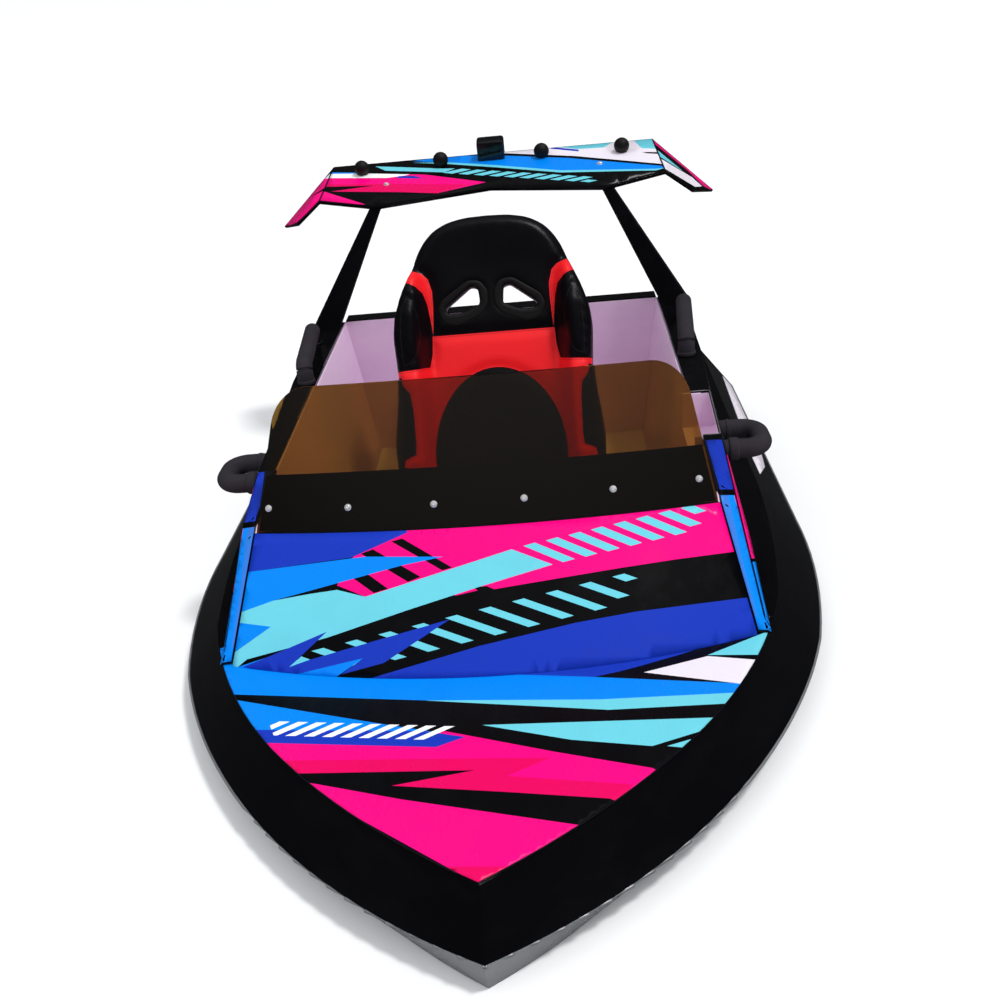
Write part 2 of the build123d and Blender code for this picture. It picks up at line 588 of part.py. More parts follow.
NOZZLE_FRONT_Y = PIVOT_Y - 8
NOZZLE_END_Y = PIVOT_Y + 82
nozzle = turned([
    (NOZZLE_FRONT_Y, 64), (NOZZLE_FRONT_Y, 70), (PIVOT_Y + 20, 70), (NOZZLE_END_Y, 48), (NOZZLE_END_Y, 42),
    (PIVOT_Y + 20, 64),
])
for up in (1, -1):
    nozzle += round_bar((0, PIVOT_Y, PUMP_Z + up * 66), (0, PIVOT_Y, PUMP_Z + up * (EAR_RISE - SEAT_GAP)), 11)
    pin_ends = [(0, PIVOT_Y, PUMP_Z + up * rise) for rise in (70, EAR_RISE + EAR_THICK)]
    nozzle += round_bar(*pin_ends, PIN_RADIUS)
save("steering_nozzle", nozzle)

IMPELLER_RADIUS = 64.0
impeller_y = pump_y + 16
IMPELLER_LENGTH = 42.0
BLADE_PITCH = 32.0
impeller = turned([
    (impeller_y, 0), (impeller_y, 17), (impeller_y + IMPELLER_LENGTH, STATOR_HUB),
    (impeller_y + IMPELLER_LENGTH, 0),
])
for k in range(4):
    blade = Box(4, IMPELLER_LENGTH, IMPELLER_RADIUS - 12).rotate(Axis.Z, BLADE_PITCH)
    blade = Pos(0, impeller_y + IMPELLER_LENGTH / 2, (IMPELLER_RADIUS + 12) / 2) * blade
    impeller += Pos(0, 0, PUMP_Z) * blade.rotate(Axis.Y, 90 * k)
tip_circle = round_bar((0, impeller_y, PUMP_Z), (0, impeller_y + IMPELLER_LENGTH, PUMP_Z), IMPELLER_RADIUS)
save("impeller", impeller & tip_circle)
save("drive_shaft", round_bar((0, ENGINE_Y[1] + SEAT_GAP, PUMP_Z), (0, impeller_y, PUMP_Z), SHAFT_RADIUS))

# Tow eyes on the transom
EYE_RADIUS = 8.0
EYE_X = 420.0
EYE_Z = 110.0
eye = block((EYE_X - 4, EYE_X + 4), (pump_y, pump_y + 34), (EYE_Z - 17, EYE_Z + 17))
eye += block((EYE_X - 25, EYE_X + 25), (pump_y, pump_y + 5), (EYE_Z - 30, EYE_Z + 30))
eye -= round_bar((EYE_X - 10, pump_y + 19, EYE_Z), (EYE_X + 10, pump_y + 19, EYE_Z), EYE_RADIUS)
save("tow_eyes", Compound([eye.solid(), mirrored(eye).solid()]))

# Rear wing: a tilted plate on two tapered struts, with turned-down winglets
WING_TILT = 12.0
WING_THICK = 10.0
WING_BACK_Y = 1308.0
WING_BACK_Z = 836.0
wing_plane = Plane(origin=(0, WING_BACK_Y, WING_BACK_Z), x_dir=(1, 0, 0),
                   z_dir=(0, -sin(radians(WING_TILT)), cos(radians(WING_TILT))))
# Port half of the wing's outline as (x, y), from the notch round to the back edge
WING_OUTLINE = ((0, 1035), (345, 968), (528, 1045), (514, WING_BACK_Y))


def on_wing(y):
    """Height of the wing's top face above the waterline at one y."""
    return WING_BACK_Z + (y - WING_BACK_Y) * tan(radians(WING_TILT))


wing_local = [(x, (y - WING_BACK_Y) / cos(radians(WING_TILT))) for x, y in WING_OUTLINE]
wing_loop = Polyline(*wing_local, *[(-x, v) for x, v in reversed(wing_local[1:])], close=True)
wing = wing_plane * (Pos(0, 0, -WING_THICK) * extrude(make_face(wing_loop), WING_THICK))
save("wing", wing)
WINGLET_TIP = Vector(705, 1290, 664)
root_front = Vector(528 + SEAT_GAP, 1045, on_wing(1045))
root_back = Vector(514 + SEAT_GAP, WING_BACK_Y, WING_BACK_Z)
winglet_normal = (root_back - root_front).cross(WINGLET_TIP - root_front).normalized()
inner_y, inner_x = 1090.0, 618.0
inner_z = root_front.Z - ((inner_x - root_front.X) * winglet_normal.X
                          + (inner_y - root_front.Y) * winglet_normal.Y) / winglet_normal.Z
winglet_face = Face(Wire.make_polygon([root_front, root_back, WINGLET_TIP, Vector(inner_x, inner_y, inner_z)]))
down = -1 if winglet_normal.Z > 0 else 1
winglet = Solid.extrude(winglet_face, winglet_normal * (down * 8))
winglet -= wing
both_sides("winglet", winglet)

# Struts: tapered box posts from the coaming's aft end to the wing
STRUT_FOOT = ((490, 835), (575, 835), (575, 916), (490, 916))
STRUT_HEAD = ((298, 1006), (321, 1006), (321, 1056), (298, 1056))
head_z = 830.0
strut = Solid.make_loft([
    Wire.make_polygon([Vector(x, y, CAP_Z) for x, y in STRUT_FOOT]),
    Wire.make_polygon([Vector(x, y, head_z) for x, y in STRUT_HEAD]),
], ruled=True)
above_wing = wing_plane * (Pos(0, 0, 150 - WING_THICK) * Box(2000, 2000, 300))
strut -= above_wing
gusset = prism_z([(482, 500), (500, 838), (500, 860), (482, 860)], CAP_Z, CAP_Z + 5)
both_sides("strut", strut + gusset)

# Lamp box and four round knobs on the wing's back edge
LAMP_WIDTH, LAMP_DEPTH, LAMP_HEIGHT = 86.0, 56.0, 60.0
LAMP_CORNER = 9.0
lamp = Pos(0, -LAMP_DEPTH / 2 - 10, LAMP_HEIGHT / 2) * Box(LAMP_WIDTH, LAMP_DEPTH, LAMP_HEIGHT)
lamp = fillet(lamp.edges().filter_by(Axis.Z) + lamp.edges().group_by(Axis.Z)[-1], LAMP_CORNER)
save("stern_lamp", wing_plane * lamp)
KNOB_RADIUS = 24.0
KNOB_RISE = 19.0
# x and distance ahead of the wing's back edge
KNOBS = ((411, 84), (160, 70), (-160, 70), (-411, 84))
above_top = Pos(0, 0, 150) * Box(2000, 2000, 300)
knob_ball = Sphere(KNOB_RADIUS)
knobs = [wing_plane * ((Pos(x, -ahead, KNOB_RISE) * knob_ball) & above_top) for x, ahead in KNOBS]
save("wing_knobs", Compound([knob.solid() for knob in knobs]))

# Grips: foam sleeves on bent steel tube, forward ones level with the dash
GRIP_TUBE = 12.0
GRIP_FOAM = 22.0
GRIP_Z = 385.0
grip_path = [(524, -150, GRIP_Z), (619, -150, GRIP_Z), (619, -35, GRIP_Z), (530, -35, GRIP_Z)]
fore_grip = tube_along(grip_path, [40, 40], GRIP_FOAM)
fore_wall = plate_loft([
    (y, ((400, CAP_Z), (x_out + 1, CAP_Z), (x_foot + 1, DECK_Z), (400, DECK_Z)))
    for y, x_in, z_in, x_out, z_out, x_foot in COAMING[:2]
])
both_sides("fore_grip", fore_grip - fore_wall)
rear_path = [(507, 372, CAP_Z), (507, 372, CAP_Z + 52), (540, 722, CAP_Z + 52), (540, 722, CAP_Z)]
rear_tube = tube_along(rear_path, [25, 25], GRIP_TUBE)
rear_foam = round_bar((510, 404, CAP_Z + 52), (537, 690, CAP_Z + 52), GRIP_FOAM)
both_sides("rear_grip", rear_tube + rear_foam)
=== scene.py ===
import math

import bmesh
import bpy
import numpy as np
from mathutils import Matrix, Vector
from mathutils.bvhtree import BVHTree
from mathutils.geometry import delaunay_2d_cdt


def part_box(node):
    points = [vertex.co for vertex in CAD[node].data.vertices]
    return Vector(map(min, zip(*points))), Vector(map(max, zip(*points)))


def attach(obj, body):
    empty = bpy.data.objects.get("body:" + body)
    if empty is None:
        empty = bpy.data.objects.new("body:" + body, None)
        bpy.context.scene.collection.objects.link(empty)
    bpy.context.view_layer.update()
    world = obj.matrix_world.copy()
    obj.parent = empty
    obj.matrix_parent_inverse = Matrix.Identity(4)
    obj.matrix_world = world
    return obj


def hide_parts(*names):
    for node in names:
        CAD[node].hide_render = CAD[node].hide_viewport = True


# The water kart arrives as its frame of named parts, all in metres, with the bow
# towards -Y, the port side towards +X and the waterline at Z = 0.
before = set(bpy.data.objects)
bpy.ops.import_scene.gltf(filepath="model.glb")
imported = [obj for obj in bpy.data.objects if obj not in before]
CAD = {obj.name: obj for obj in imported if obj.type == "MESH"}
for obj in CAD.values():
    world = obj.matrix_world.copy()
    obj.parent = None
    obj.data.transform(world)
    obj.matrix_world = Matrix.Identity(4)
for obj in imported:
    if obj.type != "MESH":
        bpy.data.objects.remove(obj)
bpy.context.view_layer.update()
MM = 0.001

# The picture is taken from ahead of the bow, a little to port and well above the deck,
# with the camera tilted a few degrees to one side.
PHOTO_FOCAL_PX = 1141.5
PHOTO_SIDE_PX = 1000
PHOTO_CENTRE_PX = (495.0, 544.8)
CAMERA_PLACE = Vector((0.1736, -2.5252, 1.4367))
CAMERA_TURN = math.radians(-4.33)
CAMERA_DIP = math.radians(27.78)
CAMERA_ROLL = math.radians(-5.79)
ahead = Vector((
    math.sin(CAMERA_TURN) * math.cos(CAMERA_DIP),
    math.cos(CAMERA_TURN) * math.cos(CAMERA_DIP),
    -math.sin(CAMERA_DIP),
))
level_right = Vector((math.cos(CAMERA_TURN), -math.sin(CAMERA_TURN), 0))
level_up = level_right.cross(ahead)
photo_right = math.cos(CAMERA_ROLL) * level_right + math.sin(CAMERA_ROLL) * level_up
photo_up = math.cos(CAMERA_ROLL) * level_up - math.sin(CAMERA_ROLL) * level_right
camera_data = bpy.data.cameras.new("photo_camera")
camera_data.sensor_width = 36
camera_data.clip_end = 4000
camera_data.lens = PHOTO_FOCAL_PX / PHOTO_SIDE_PX * camera_data.sensor_width
camera_data.shift_x = (PHOTO_SIDE_PX / 2 - PHOTO_CENTRE_PX[0]) / PHOTO_SIDE_PX
camera_data.shift_y = (PHOTO_CENTRE_PX[1] - PHOTO_SIDE_PX / 2) / PHOTO_SIDE_PX
camera = bpy.data.objects.new("photo_camera", camera_data)
camera.matrix_world = Matrix((
    (photo_right.x, photo_up.x, -ahead.x, CAMERA_PLACE.x),
    (photo_right.y, photo_up.y, -ahead.y, CAMERA_PLACE.y),
    (photo_right.z, photo_up.z, -ahead.z, CAMERA_PLACE.z),
    (0, 0, 0, 1),
))
bpy.context.scene.collection.objects.link(camera)
bpy.context.scene.camera = camera
bpy.context.scene.view_settings.view_transform = "Standard"


# Soft daylight: an even pale sky, a wide sun almost overhead and a little to port, as the
# picture's shadows show, and a weak panel ahead of the bow that no gloss mirrors.
SUN_WAY = Vector((0.40, -0.12, 0.91))
SUN_STRENGTH = 1.65
SUN_WIDTH = math.radians(9)
PANEL_PLACE = Vector((-1.6, -4.6, 3.6))
PANEL_AIM = Vector((0, 0, 0.3))
PANEL_WIDTH = 3
PANEL_POWER = 30
sun_data = bpy.data.lights.new("high_sun", "SUN")
sun_data.energy = SUN_STRENGTH
sun_data.angle = SUN_WIDTH
sun = bpy.data.objects.new("high_sun", sun_data)
sun.rotation_euler = SUN_WAY.to_track_quat("Z", "Y").to_euler()
bpy.context.scene.collection.objects.link(sun)
panel_data = bpy.data.lights.new("bow_panel", "AREA")
panel_data.shape = "DISK"
panel_data.size = PANEL_WIDTH
panel_data.energy = PANEL_POWER
panel = bpy.data.objects.new("bow_panel", panel_data)
panel.location = PANEL_PLACE
panel.rotation_euler = (PANEL_PLACE - PANEL_AIM).to_track_quat("Z", "Y").to_euler()
panel.visible_glossy = False
panel.visible_transmission = False
bpy.context.scene.collection.objects.link(panel)

# The gloss and the screen mirror a dimmer sky than the one that lights the boat, dark low
# down and brighter overhead, and the sky seen behind the boat is white
SKY_COLOUR = (0.95, 0.97, 1.0, 1)
SKY_LIGHT = 0.84
SKY_BEHIND_BOAT = 1.1
GLOSS_AT_HORIZON = 0.03
GLOSS_OVERHEAD = 0.36
GLOSS_RISE = (0.55, 0.95)
sky = bpy.data.worlds.new("sky")
sky.use_nodes = True
glow = sky.node_tree.nodes["Background"].inputs
glow["Color"].default_value = SKY_COLOUR
sky_nodes = sky.node_tree.nodes
sky_links = sky.node_tree.links
sky_path = sky_nodes.new("ShaderNodeLightPath")
sky_way = sky_nodes.new("ShaderNodeSeparateXYZ")
sky_links.new(sky_nodes.new("ShaderNodeTexCoord").outputs["Generated"], sky_way.inputs[0])
mirrored_sky = sky_nodes.new("ShaderNodeMapRange")
mirrored_sky.inputs["From Min"].default_value, mirrored_sky.inputs["From Max"].default_value = GLOSS_RISE
mirrored_sky.inputs["To Min"].default_value = GLOSS_AT_HORIZON
mirrored_sky.inputs["To Max"].default_value = GLOSS_OVERHEAD
sky_links.new(sky_way.outputs["Z"], mirrored_sky.inputs["Value"])
sky_level = sky_nodes.new("ShaderNodeMix")
lit_sky = sky_nodes.new("ShaderNodeMapRange")
lit_sky.inputs["To Min"].default_value = SKY_LIGHT
lit_sky.inputs["To Max"].default_value = SKY_BEHIND_BOAT
sky_links.new(sky_path.outputs["Is Camera Ray"], lit_sky.inputs["Value"])
sky_links.new(lit_sky.outputs["Result"], sky_level.inputs[2])
seen_in_gloss = sky_nodes.new("ShaderNodeMath")
seen_in_gloss.operation = "MAXIMUM"
sky_links.new(sky_path.outputs["Is Glossy Ray"], seen_in_gloss.inputs[0])
sky_links.new(sky_path.outputs["Is Transmission Ray"], seen_in_gloss.inputs[1])
sky_links.new(seen_in_gloss.outputs[0], sky_level.inputs[0])
sky_links.new(mirrored_sky.outputs["Result"], sky_level.inputs[3])
sky_links.new(sky_level.outputs[0], glow["Strength"])
bpy.context.scene.world = sky


# The floor stands for the water's surface, a wide pale matt plane at the waterline, which
# takes the boat's shadow and isn't mirrored in its gloss.
def object_of(name, mesh, *finishes):
    """New object from a mesh, with its finishes."""
    thing = bpy.data.objects.new(name, mesh)
    bpy.context.scene.collection.objects.link(thing)
    for cover in finishes:
        mesh.materials.append(cover)
    return thing


def mesh_of(name, points, faces, smooth=True):
    """New mesh, with all its faces looking outwards."""
    mesh = bpy.data.meshes.new(name)
    mesh.from_pydata([tuple(p) for p in points], [], faces)
    work = bmesh.new()
    work.from_mesh(mesh)
    bmesh.ops.recalc_face_normals(work, faces=work.faces)
    work.to_mesh(mesh)
    work.free()
    if smooth:
        mesh.shade_smooth()
    return mesh


def srgb(red, green, blue):
    """Linear colour of a screen colour given from 0 to 255."""
    return tuple(((c / 255 + 0.055) / 1.055) ** 2.4 if c > 10 else c / 3294.6 for c in (red, green, blue))


def effect(name, build):
    """Shader group that gives two masks over the surface: Shade for colour, Grain for height."""
    tree = bpy.data.node_groups.new(name, "ShaderNodeTree")
    scale = tree.interface.new_socket("Scale", in_out="INPUT", socket_type="NodeSocketFloat")
    scale.default_value = 1
    for output in ("Shade", "Grain"):
        tree.interface.new_socket(output, in_out="OUTPUT", socket_type="NodeSocketFloat")
    given = tree.nodes.new("NodeGroupInput")
    taken = tree.nodes.new("NodeGroupOutput")
    where = tree.nodes.new("ShaderNodeTexCoord").outputs["Object"]
    shade, grain = build(tree, where, given.outputs["Scale"])
    tree.links.new(shade, taken.inputs["Shade"])
    tree.links.new(grain, taken.inputs["Grain"])
    return tree


def node(tree, kind, values=(), **links):
    """Shader node with plain values set and its inputs linked by name."""
    made = tree.nodes.new(kind)
    for key, value in dict(values).items():
        if key in made.inputs:
            made.inputs[key].default_value = value
        else:
            setattr(made, key, value)
    for key, source in links.items():
        tree.links.new(source, made.inputs[key])
    return made


def scaled(tree, scale, by):
    """The group's own scale times a number."""
    product = node(tree, "ShaderNodeMath", {"operation": "MULTIPLY"})
    tree.links.new(scale, product.inputs[0])
    product.inputs[1].default_value = by
    return product.outputs[0]


def finish(name, colour, roughness, group, scale=1.0, worn=None, bump=0.1, spread=0.08, **sockets):
    """Material: one effect group varies its colour, roughness and relief, the rest is set on the shader."""
    made = bpy.data.materials.new(name)
    made.use_nodes = True
    tree = made.node_tree
    shader = tree.nodes["Principled BSDF"]
    look = node(tree, "ShaderNodeGroup", {"node_tree": group})
    look.inputs["Scale"].default_value = scale
    tint = node(tree, "ShaderNodeMix", {"data_type": "RGBA"})
    tree.links.new(look.outputs["Shade"], tint.inputs[0])
    tint.inputs[6].default_value = (*colour, 1)
    tint.inputs[7].default_value = (*(worn or tuple(0.8 * c for c in colour)), 1)
    tree.links.new(tint.outputs[2], shader.inputs["Base Color"])
    band = {"To Min": roughness - spread / 2, "To Max": roughness + spread / 2}
    rough = node(tree, "ShaderNodeMapRange", band, Value=look.outputs["Shade"])
    tree.links.new(rough.outputs["Result"], shader.inputs["Roughness"])
    relief = node(tree, "ShaderNodeBump", {"Strength": bump, "Distance": 0.001}, Height=look.outputs["Grain"])
    tree.links.new(relief.outputs["Normal"], shader.inputs["Normal"])
    for key, value in sockets.items():
        shader.inputs[key.replace("_", " ")].default_value = value
    return made


def mottled(tree, where, scale):
    """Broad soft patches with a fine even tooth."""
    patches = node(tree, "ShaderNodeTexNoise", {"Detail": 3}, Vector=where, Scale=scaled(tree, scale, 3))
    tooth = node(tree, "ShaderNodeTexNoise", {"Detail": 2}, Vector=where, Scale=scaled(tree, scale, 240))
    return patches.outputs["Fac"], tooth.outputs["Fac"]


mottled_group = effect("soft_mottling", mottled)
FLOOR_HALF = 1800
floor_corners = [(x * FLOOR_HALF, y * FLOOR_HALF, 0) for x, y in ((-1, -1), (1, -1), (1, 1), (-1, 1))]
floor_mesh = mesh_of("floor", floor_corners, [(0, 1, 2, 3)], smooth=False)
pale_floor = finish("pale_floor", (0.9, 0.9, 0.9), 0.7, mottled_group, worn=(0.88, 0.88, 0.88))
floor = object_of("floor", floor_mesh, pale_floor)
floor.visible_glossy = False


# The hull bottom is folded from bare sheet aluminium, still with its rolled grain, and is welded along the
# keel and the chine; the chine's weld is drawn as a bead that shows the welder's ripples.
def rolled(tree, where, scale):
    """Streaks that run along the boat, with fine scratches."""
    along = node(tree, "ShaderNodeMapping", {"Scale": (60, 1.2, 60)}, Vector=where)
    streaks = node(tree, "ShaderNodeTexNoise", {"Detail": 5}, Vector=along.outputs["Vector"],
                   Scale=scaled(tree, scale, 4))
    patches = node(tree, "ShaderNodeTexNoise", {"Detail": 2}, Vector=where, Scale=scaled(tree, scale, 5))
    both = node(tree, "ShaderNodeMath", {"operation": "MULTIPLY"})
    tree.links.new(streaks.outputs["Fac"], both.inputs[0])
    tree.links.new(patches.outputs["Fac"], both.inputs[1])
    return both.outputs[0], streaks.outputs["Fac"]


SAME_PLACE = 0.02 * MM
ROUNDED_FROM = math.radians(35)


def dress(material, *names, edge=1.2):
    """Give CAD parts their finish and a small rounded edge, in millimetres."""
    for name in names:
        part = CAD[name]
        part.data.materials.clear()
        part.data.materials.append(material)
        custom = part.data.attributes.get("custom_normal")
        if custom:
            part.data.attributes.remove(custom)
        part.data.shade_smooth()
        weld = part.modifiers.new("joined_corners", "WELD")
        weld.merge_threshold = SAME_PLACE
        rounding = part.modifiers.new("broken_edge", "BEVEL")
        rounding.width = edge * MM
        rounding.segments = 2
        rounding.limit_method = "ANGLE"
        rounding.angle_limit = ROUNDED_FROM
        rounding.harden_normals = True


rolled_group = effect("rolled_grain", rolled)
bare_aluminium = finish("bare_aluminium", srgb(196, 198, 200), 0.3, rolled_group, worn=srgb(150, 152, 156),
                        bump=0.06, spread=0.2, Metallic=0.6)
dress(bare_aluminium, "hull_bottom", "intake_tunnel", "intake_grate")


def tube(name, path, radius, sides=10, swell=None):
    """Round closed tube along points, its radius times swell(share of the way)."""
    points = [Vector(p) for p in path]
    rings = []
    faces = []
    for i, spot in enumerate(points):
        way = (points[min(i + 1, len(points) - 1)] - points[max(i - 1, 0)]).normalized()
        side = way.cross(Vector((0, 0, 1)) if abs(way.z) < 0.9 else Vector((1, 0, 0))).normalized()
        lift = side.cross(way)
        size = radius * (swell(i / (len(points) - 1)) if swell else 1)
        for k in range(sides):
            turn = 2 * math.pi * k / sides
            rings.append(spot + size * (math.cos(turn) * side + math.sin(turn) * lift))
        if i:
            for k in range(sides):
                a = (i - 1) * sides + k
                b = (i - 1) * sides + (k + 1) % sides
                faces.append((a, b, b + sides, a + sides))
    faces.append(tuple(reversed(range(sides))))
    faces.append(tuple(range(len(rings) - sides, len(rings))))
    return mesh_of(name, rings, faces)


def evened(points, step):
    """The same line with a point at every step along it."""
    line = [Vector(p) for p in points]
    lengths = [0.0]
    for a, b in zip(line, line[1:]):
        lengths.append(lengths[-1] + (b - a).length)
    count = max(2, int(lengths[-1] / step))
    grid = np.linspace(0, lengths[-1], count)
    axes = [np.interp(grid, lengths, [p[k] for p in line]) for k in range(3)]
    return [Vector(p) for p in zip(*axes)]


def rim_of(name, height, side):
    """Outermost points of a part near one height, bow to stern, on one side of the boat."""
    spots = {}
    for vertex in CAD[name].data.vertices:
        x, y, z = vertex.co
        if abs(z - height) < 0.001 and x * side >= -0.0001:
            key = round(y, 3)
            if key not in spots or abs(x) > abs(spots[key][0]):
                spots[key] = (x, y, z)
    return [spots[key] for key in sorted(spots)]


WELD_RADIUS = 3.2 * MM
WELD_RIPPLE = 4.0 * MM
RIPPLE_DEPTH = 0.16
WELD_DROP = Vector((0, 0, -0.002))
chine_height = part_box("hull_bottom")[1].z
weld_metal = finish("weld_metal", srgb(178, 180, 184), 0.38, mottled_group, scale=4, worn=srgb(120, 118, 118),
                    bump=0.3, spread=0.2, Metallic=0.6)
for side, side_name in ((1, "port"), (-1, "starboard")):
    seam = evened(rim_of("hull_bottom", chine_height, side), WELD_RIPPLE / 2)
    shape = tube("chine_weld", [p + WELD_DROP for p in seam], WELD_RADIUS, sides=8,
                 swell=lambda share, n=len(seam): 1 + RIPPLE_DEPTH * math.sin(share * n * math.pi))
    bead = object_of(f"chine_weld_{side_name}", shape, weld_metal)
    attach(bead, "hull")


# Topsides, decks, coamings, struts and the rest of the sheet work are wrapped or sprayed in
# gloss black over aluminium plate, with the faint waviness that a sprayed sheet has.
def sprayed(tree, where, scale):
    """Orange peel under a film of dust and wiped smears."""
    peel = node(tree, "ShaderNodeTexNoise", {"Detail": 1}, Vector=where, Scale=scaled(tree, scale, 130))
    smear = node(tree, "ShaderNodeMapping", {"Scale": (1, 0.35, 1.6), "Rotation": (0, 0, 0.6)}, Vector=where)
    dust = node(tree, "ShaderNodeTexNoise", {"Detail": 6, "Roughness": 0.65}, Vector=smear.outputs["Vector"],
                Scale=scaled(tree, scale, 7))
    settled = node(tree, "ShaderNodeMapRange", {"From Min": 0.45, "From Max": 0.8}, Value=dust.outputs["Fac"])
    return settled.outputs["Result"], peel.outputs["Fac"]


sprayed_group = effect("sprayed_gloss", sprayed)
BLACK = srgb(7, 7, 9)
gloss_black = finish("gloss_black", BLACK, 0.16, sprayed_group, worn=srgb(13, 13, 15), bump=0.03, spread=0.12,
                     Specular_IOR_Level=0.14)
dress(
    gloss_black, "topside_port", "topside_starboard", "transom", "side_deck_port", "side_deck_starboard",
    "rear_deck", "foredeck", "cowl", "cheek_port", "cheek_starboard", "coaming_port", "coaming_starboard",
    "screen_flange", "wing", "winglet_port", "winglet_starboard", "strut_port", "strut_starboard", "rear_cap",
)


# The deck, the cowl, the cheeks and the wing wear a printed vinyl wrap: slashes of magenta,
# blues and pale cyan over black, each panel's film cut a little inside the plate's edge.
# Three kinds of shape below are painted light, not print: the lighter streak on the cheeks' tops, the pearl
# glare on the wing's port half and the rose shade at the bow's tip.
FILM_THICKNESS = 0.4 * MM
FILM_MARGIN_PX = 0.7
PULLS_TO_MIDDLE = (0, 0.005, 0.02, 0.05)
PAINTS = {
    "black": BLACK,
    "magenta": srgb(255, 0, 132),
    "rose": srgb(238, 0, 98),
    "royal": srgb(26, 58, 188),
    "azure": srgb(0, 138, 250),
    # a lighter copy of the azure, laid on the cheeks' tops as a painted highlight
    "sky_blue": srgb(60, 128, 226),
    "cyan": srgb(112, 214, 230),
    "pearl": srgb(244, 236, 246),
    "white": srgb(255, 255, 255),
}
PRINT_DEPTH = 0.86
FADED = 0.93
film_paints = {}
for name, colour in PAINTS.items():
    printed = tuple(PRINT_DEPTH * c for c in colour)
    faded = srgb(11, 11, 13) if name == "black" else tuple(FADED * c for c in printed)
    film_paints[name] = finish(f"film_{name}", printed, 0.3, sprayed_group, scale=1.6, worn=faded, bump=0.02,
                               spread=0.1, Specular_IOR_Level=0.12)


def photo_ray(spot):
    """Line of sight through a point of the photograph."""
    across = (spot[0] - PHOTO_CENTRE_PX[0]) / PHOTO_FOCAL_PX
    down = (spot[1] - PHOTO_CENTRE_PX[1]) / PHOTO_FOCAL_PX
    return CAMERA_PLACE, (ahead + across * photo_right - down * photo_up).normalized()


def photo_spot(point):
    """Where a point of the boat lies in the photograph."""
    away = Vector(point) - CAMERA_PLACE
    depth = away.dot(ahead)
    return (
        PHOTO_CENTRE_PX[0] + PHOTO_FOCAL_PX * away.dot(photo_right) / depth,
        PHOTO_CENTRE_PX[1] - PHOTO_FOCAL_PX * away.dot(photo_up) / depth,
    )


def panel_edge(name, chosen, spot_of):
    """Outline of a part's chosen faces as the eye sees it, as one closed loop."""
    work = bmesh.new()
    work.from_mesh(CAD[name].data)
    bmesh.ops.remove_doubles(work, verts=work.verts, dist=SAME_PLACE)
    work.faces.ensure_lookup_table()
    kept = {face for face in work.faces if chosen(face.calc_center_median(), face.normal)}
    border = [edge for edge in work.edges if sum(face in kept for face in edge.link_faces) == 1]
    after = {}
    for edge in border:
        for a, b in (edge.verts, reversed(edge.verts)):
            after.setdefault(a.index, []).append(b)
    loops = []
    left = set(after)
    work.verts.ensure_lookup_table()
    while left:
        start = left.pop()
        loop = [start]
        while True:
            onward = [v.index for v in after[loop[-1]] if v.index in left]
            if not onward:
                break
            loop.append(onward[0])
            left.discard(onward[0])
        loops.append([spot_of(work.verts[i].co) for i in loop])
    work.free()
    return max(loops, key=lambda loop: abs(loop_area(loop)))


def loop_area(loop):
    """Signed area of a flat outline."""
    return sum(a[0] * b[1] - b[0] * a[1] for a, b in zip(loop, loop[1:] + loop[:1])) / 2


def anticlockwise(loop):
    """The outline, turned so that its area counts as positive."""
    return list(loop) if loop_area(list(loop)) > 0 else list(reversed(loop))


def drawn_in(loop, margin):
    """The outline moved inwards by a margin."""
    inner = []
    count = len(loop)
    for i in range(count):
        before, here, after = (Vector(loop[(i + k) % count]) for k in (-1, 0, 1))
        a = (here - before).normalized()
        b = (after - here).normalized()
        inwards = Vector((-a.y, a.x)) + Vector((-b.y, b.x))
        inwards *= margin / max(0.4, inwards.length_squared / 2)
        inner.append(tuple(here + inwards))
    return inner


def simplified(loop, tolerance):
    """The outline without the points that lie on a straight line."""
    kept = []
    count = len(loop)
    for i in range(count):
        before, here, after = (Vector(loop[(i + k) % count]) for k in (-1, 0, 1))
        span = after - before
        off = abs((here - before).cross(span)) / max(span.length, 1e-9)
        if off > tolerance:
            kept.append(loop[i])
    return kept


def stepped(loop, spacing):
    """The outline with no stretch between two points longer than the spacing."""
    made = []
    for a, b in zip(loop, loop[1:] + loop[:1]):
        count = max(1, math.ceil(math.dist(a, b) / spacing))
        made += [(a[0] + (b[0] - a[0]) * k / count, a[1] + (b[1] - a[1]) * k / count) for k in range(count)]
    return made


def cut_out(edge_loop, shapes, spacing):
    """Flat triangles inside the edge, each with the number of the topmost shape over it, or -1."""
    outlines = [anticlockwise(edge_loop)] + [anticlockwise(shape) for shape in shapes]
    if spacing:
        outlines = [stepped(loop, spacing) for loop in outlines]
    points = []
    faces = []
    for loop in outlines:
        faces.append(list(range(len(points), len(points) + len(loop))))
        points += [Vector(p) for p in loop]
    if spacing:
        low = np.min(edge_loop, axis=0)
        high = np.max(edge_loop, axis=0)
        for row, v in enumerate(np.arange(low[1], high[1], spacing)):
            for u in np.arange(low[0] + spacing / 2 * (row % 2), high[0], spacing):
                points.append(Vector((u + 0.013, v + 0.017)))
    flat, _, triangles, _, _, owners = delaunay_2d_cdt(points, [], faces, 1, 1e-5)
    kept = [(tri, max(own) - 1) for tri, own in zip(triangles, owners) if 0 in own]
    return flat, kept


def film(name, mesh):
    """Thin printed skin that stays on the hull."""
    sticker = object_of(name, mesh)
    body = sticker.modifiers.new("film_body", "SOLIDIFY")
    body.thickness = FILM_THICKNESS
    body.offset = 1
    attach(sticker, "hull")
    return sticker


def twin(sticker, name):
    """The same film on the other side of the boat."""
    mesh = sticker.data.copy()
    mesh.transform(Matrix.Diagonal((-1, 1, 1, 1)))
    mesh.flip_normals()
    return film(name, mesh)


def skin_of(thing):
    """Search tree over a piece's own faces."""
    return BVHTree.FromPolygons([v.co for v in thing.data.vertices],
                                [p.vertices for p in thing.data.polygons])


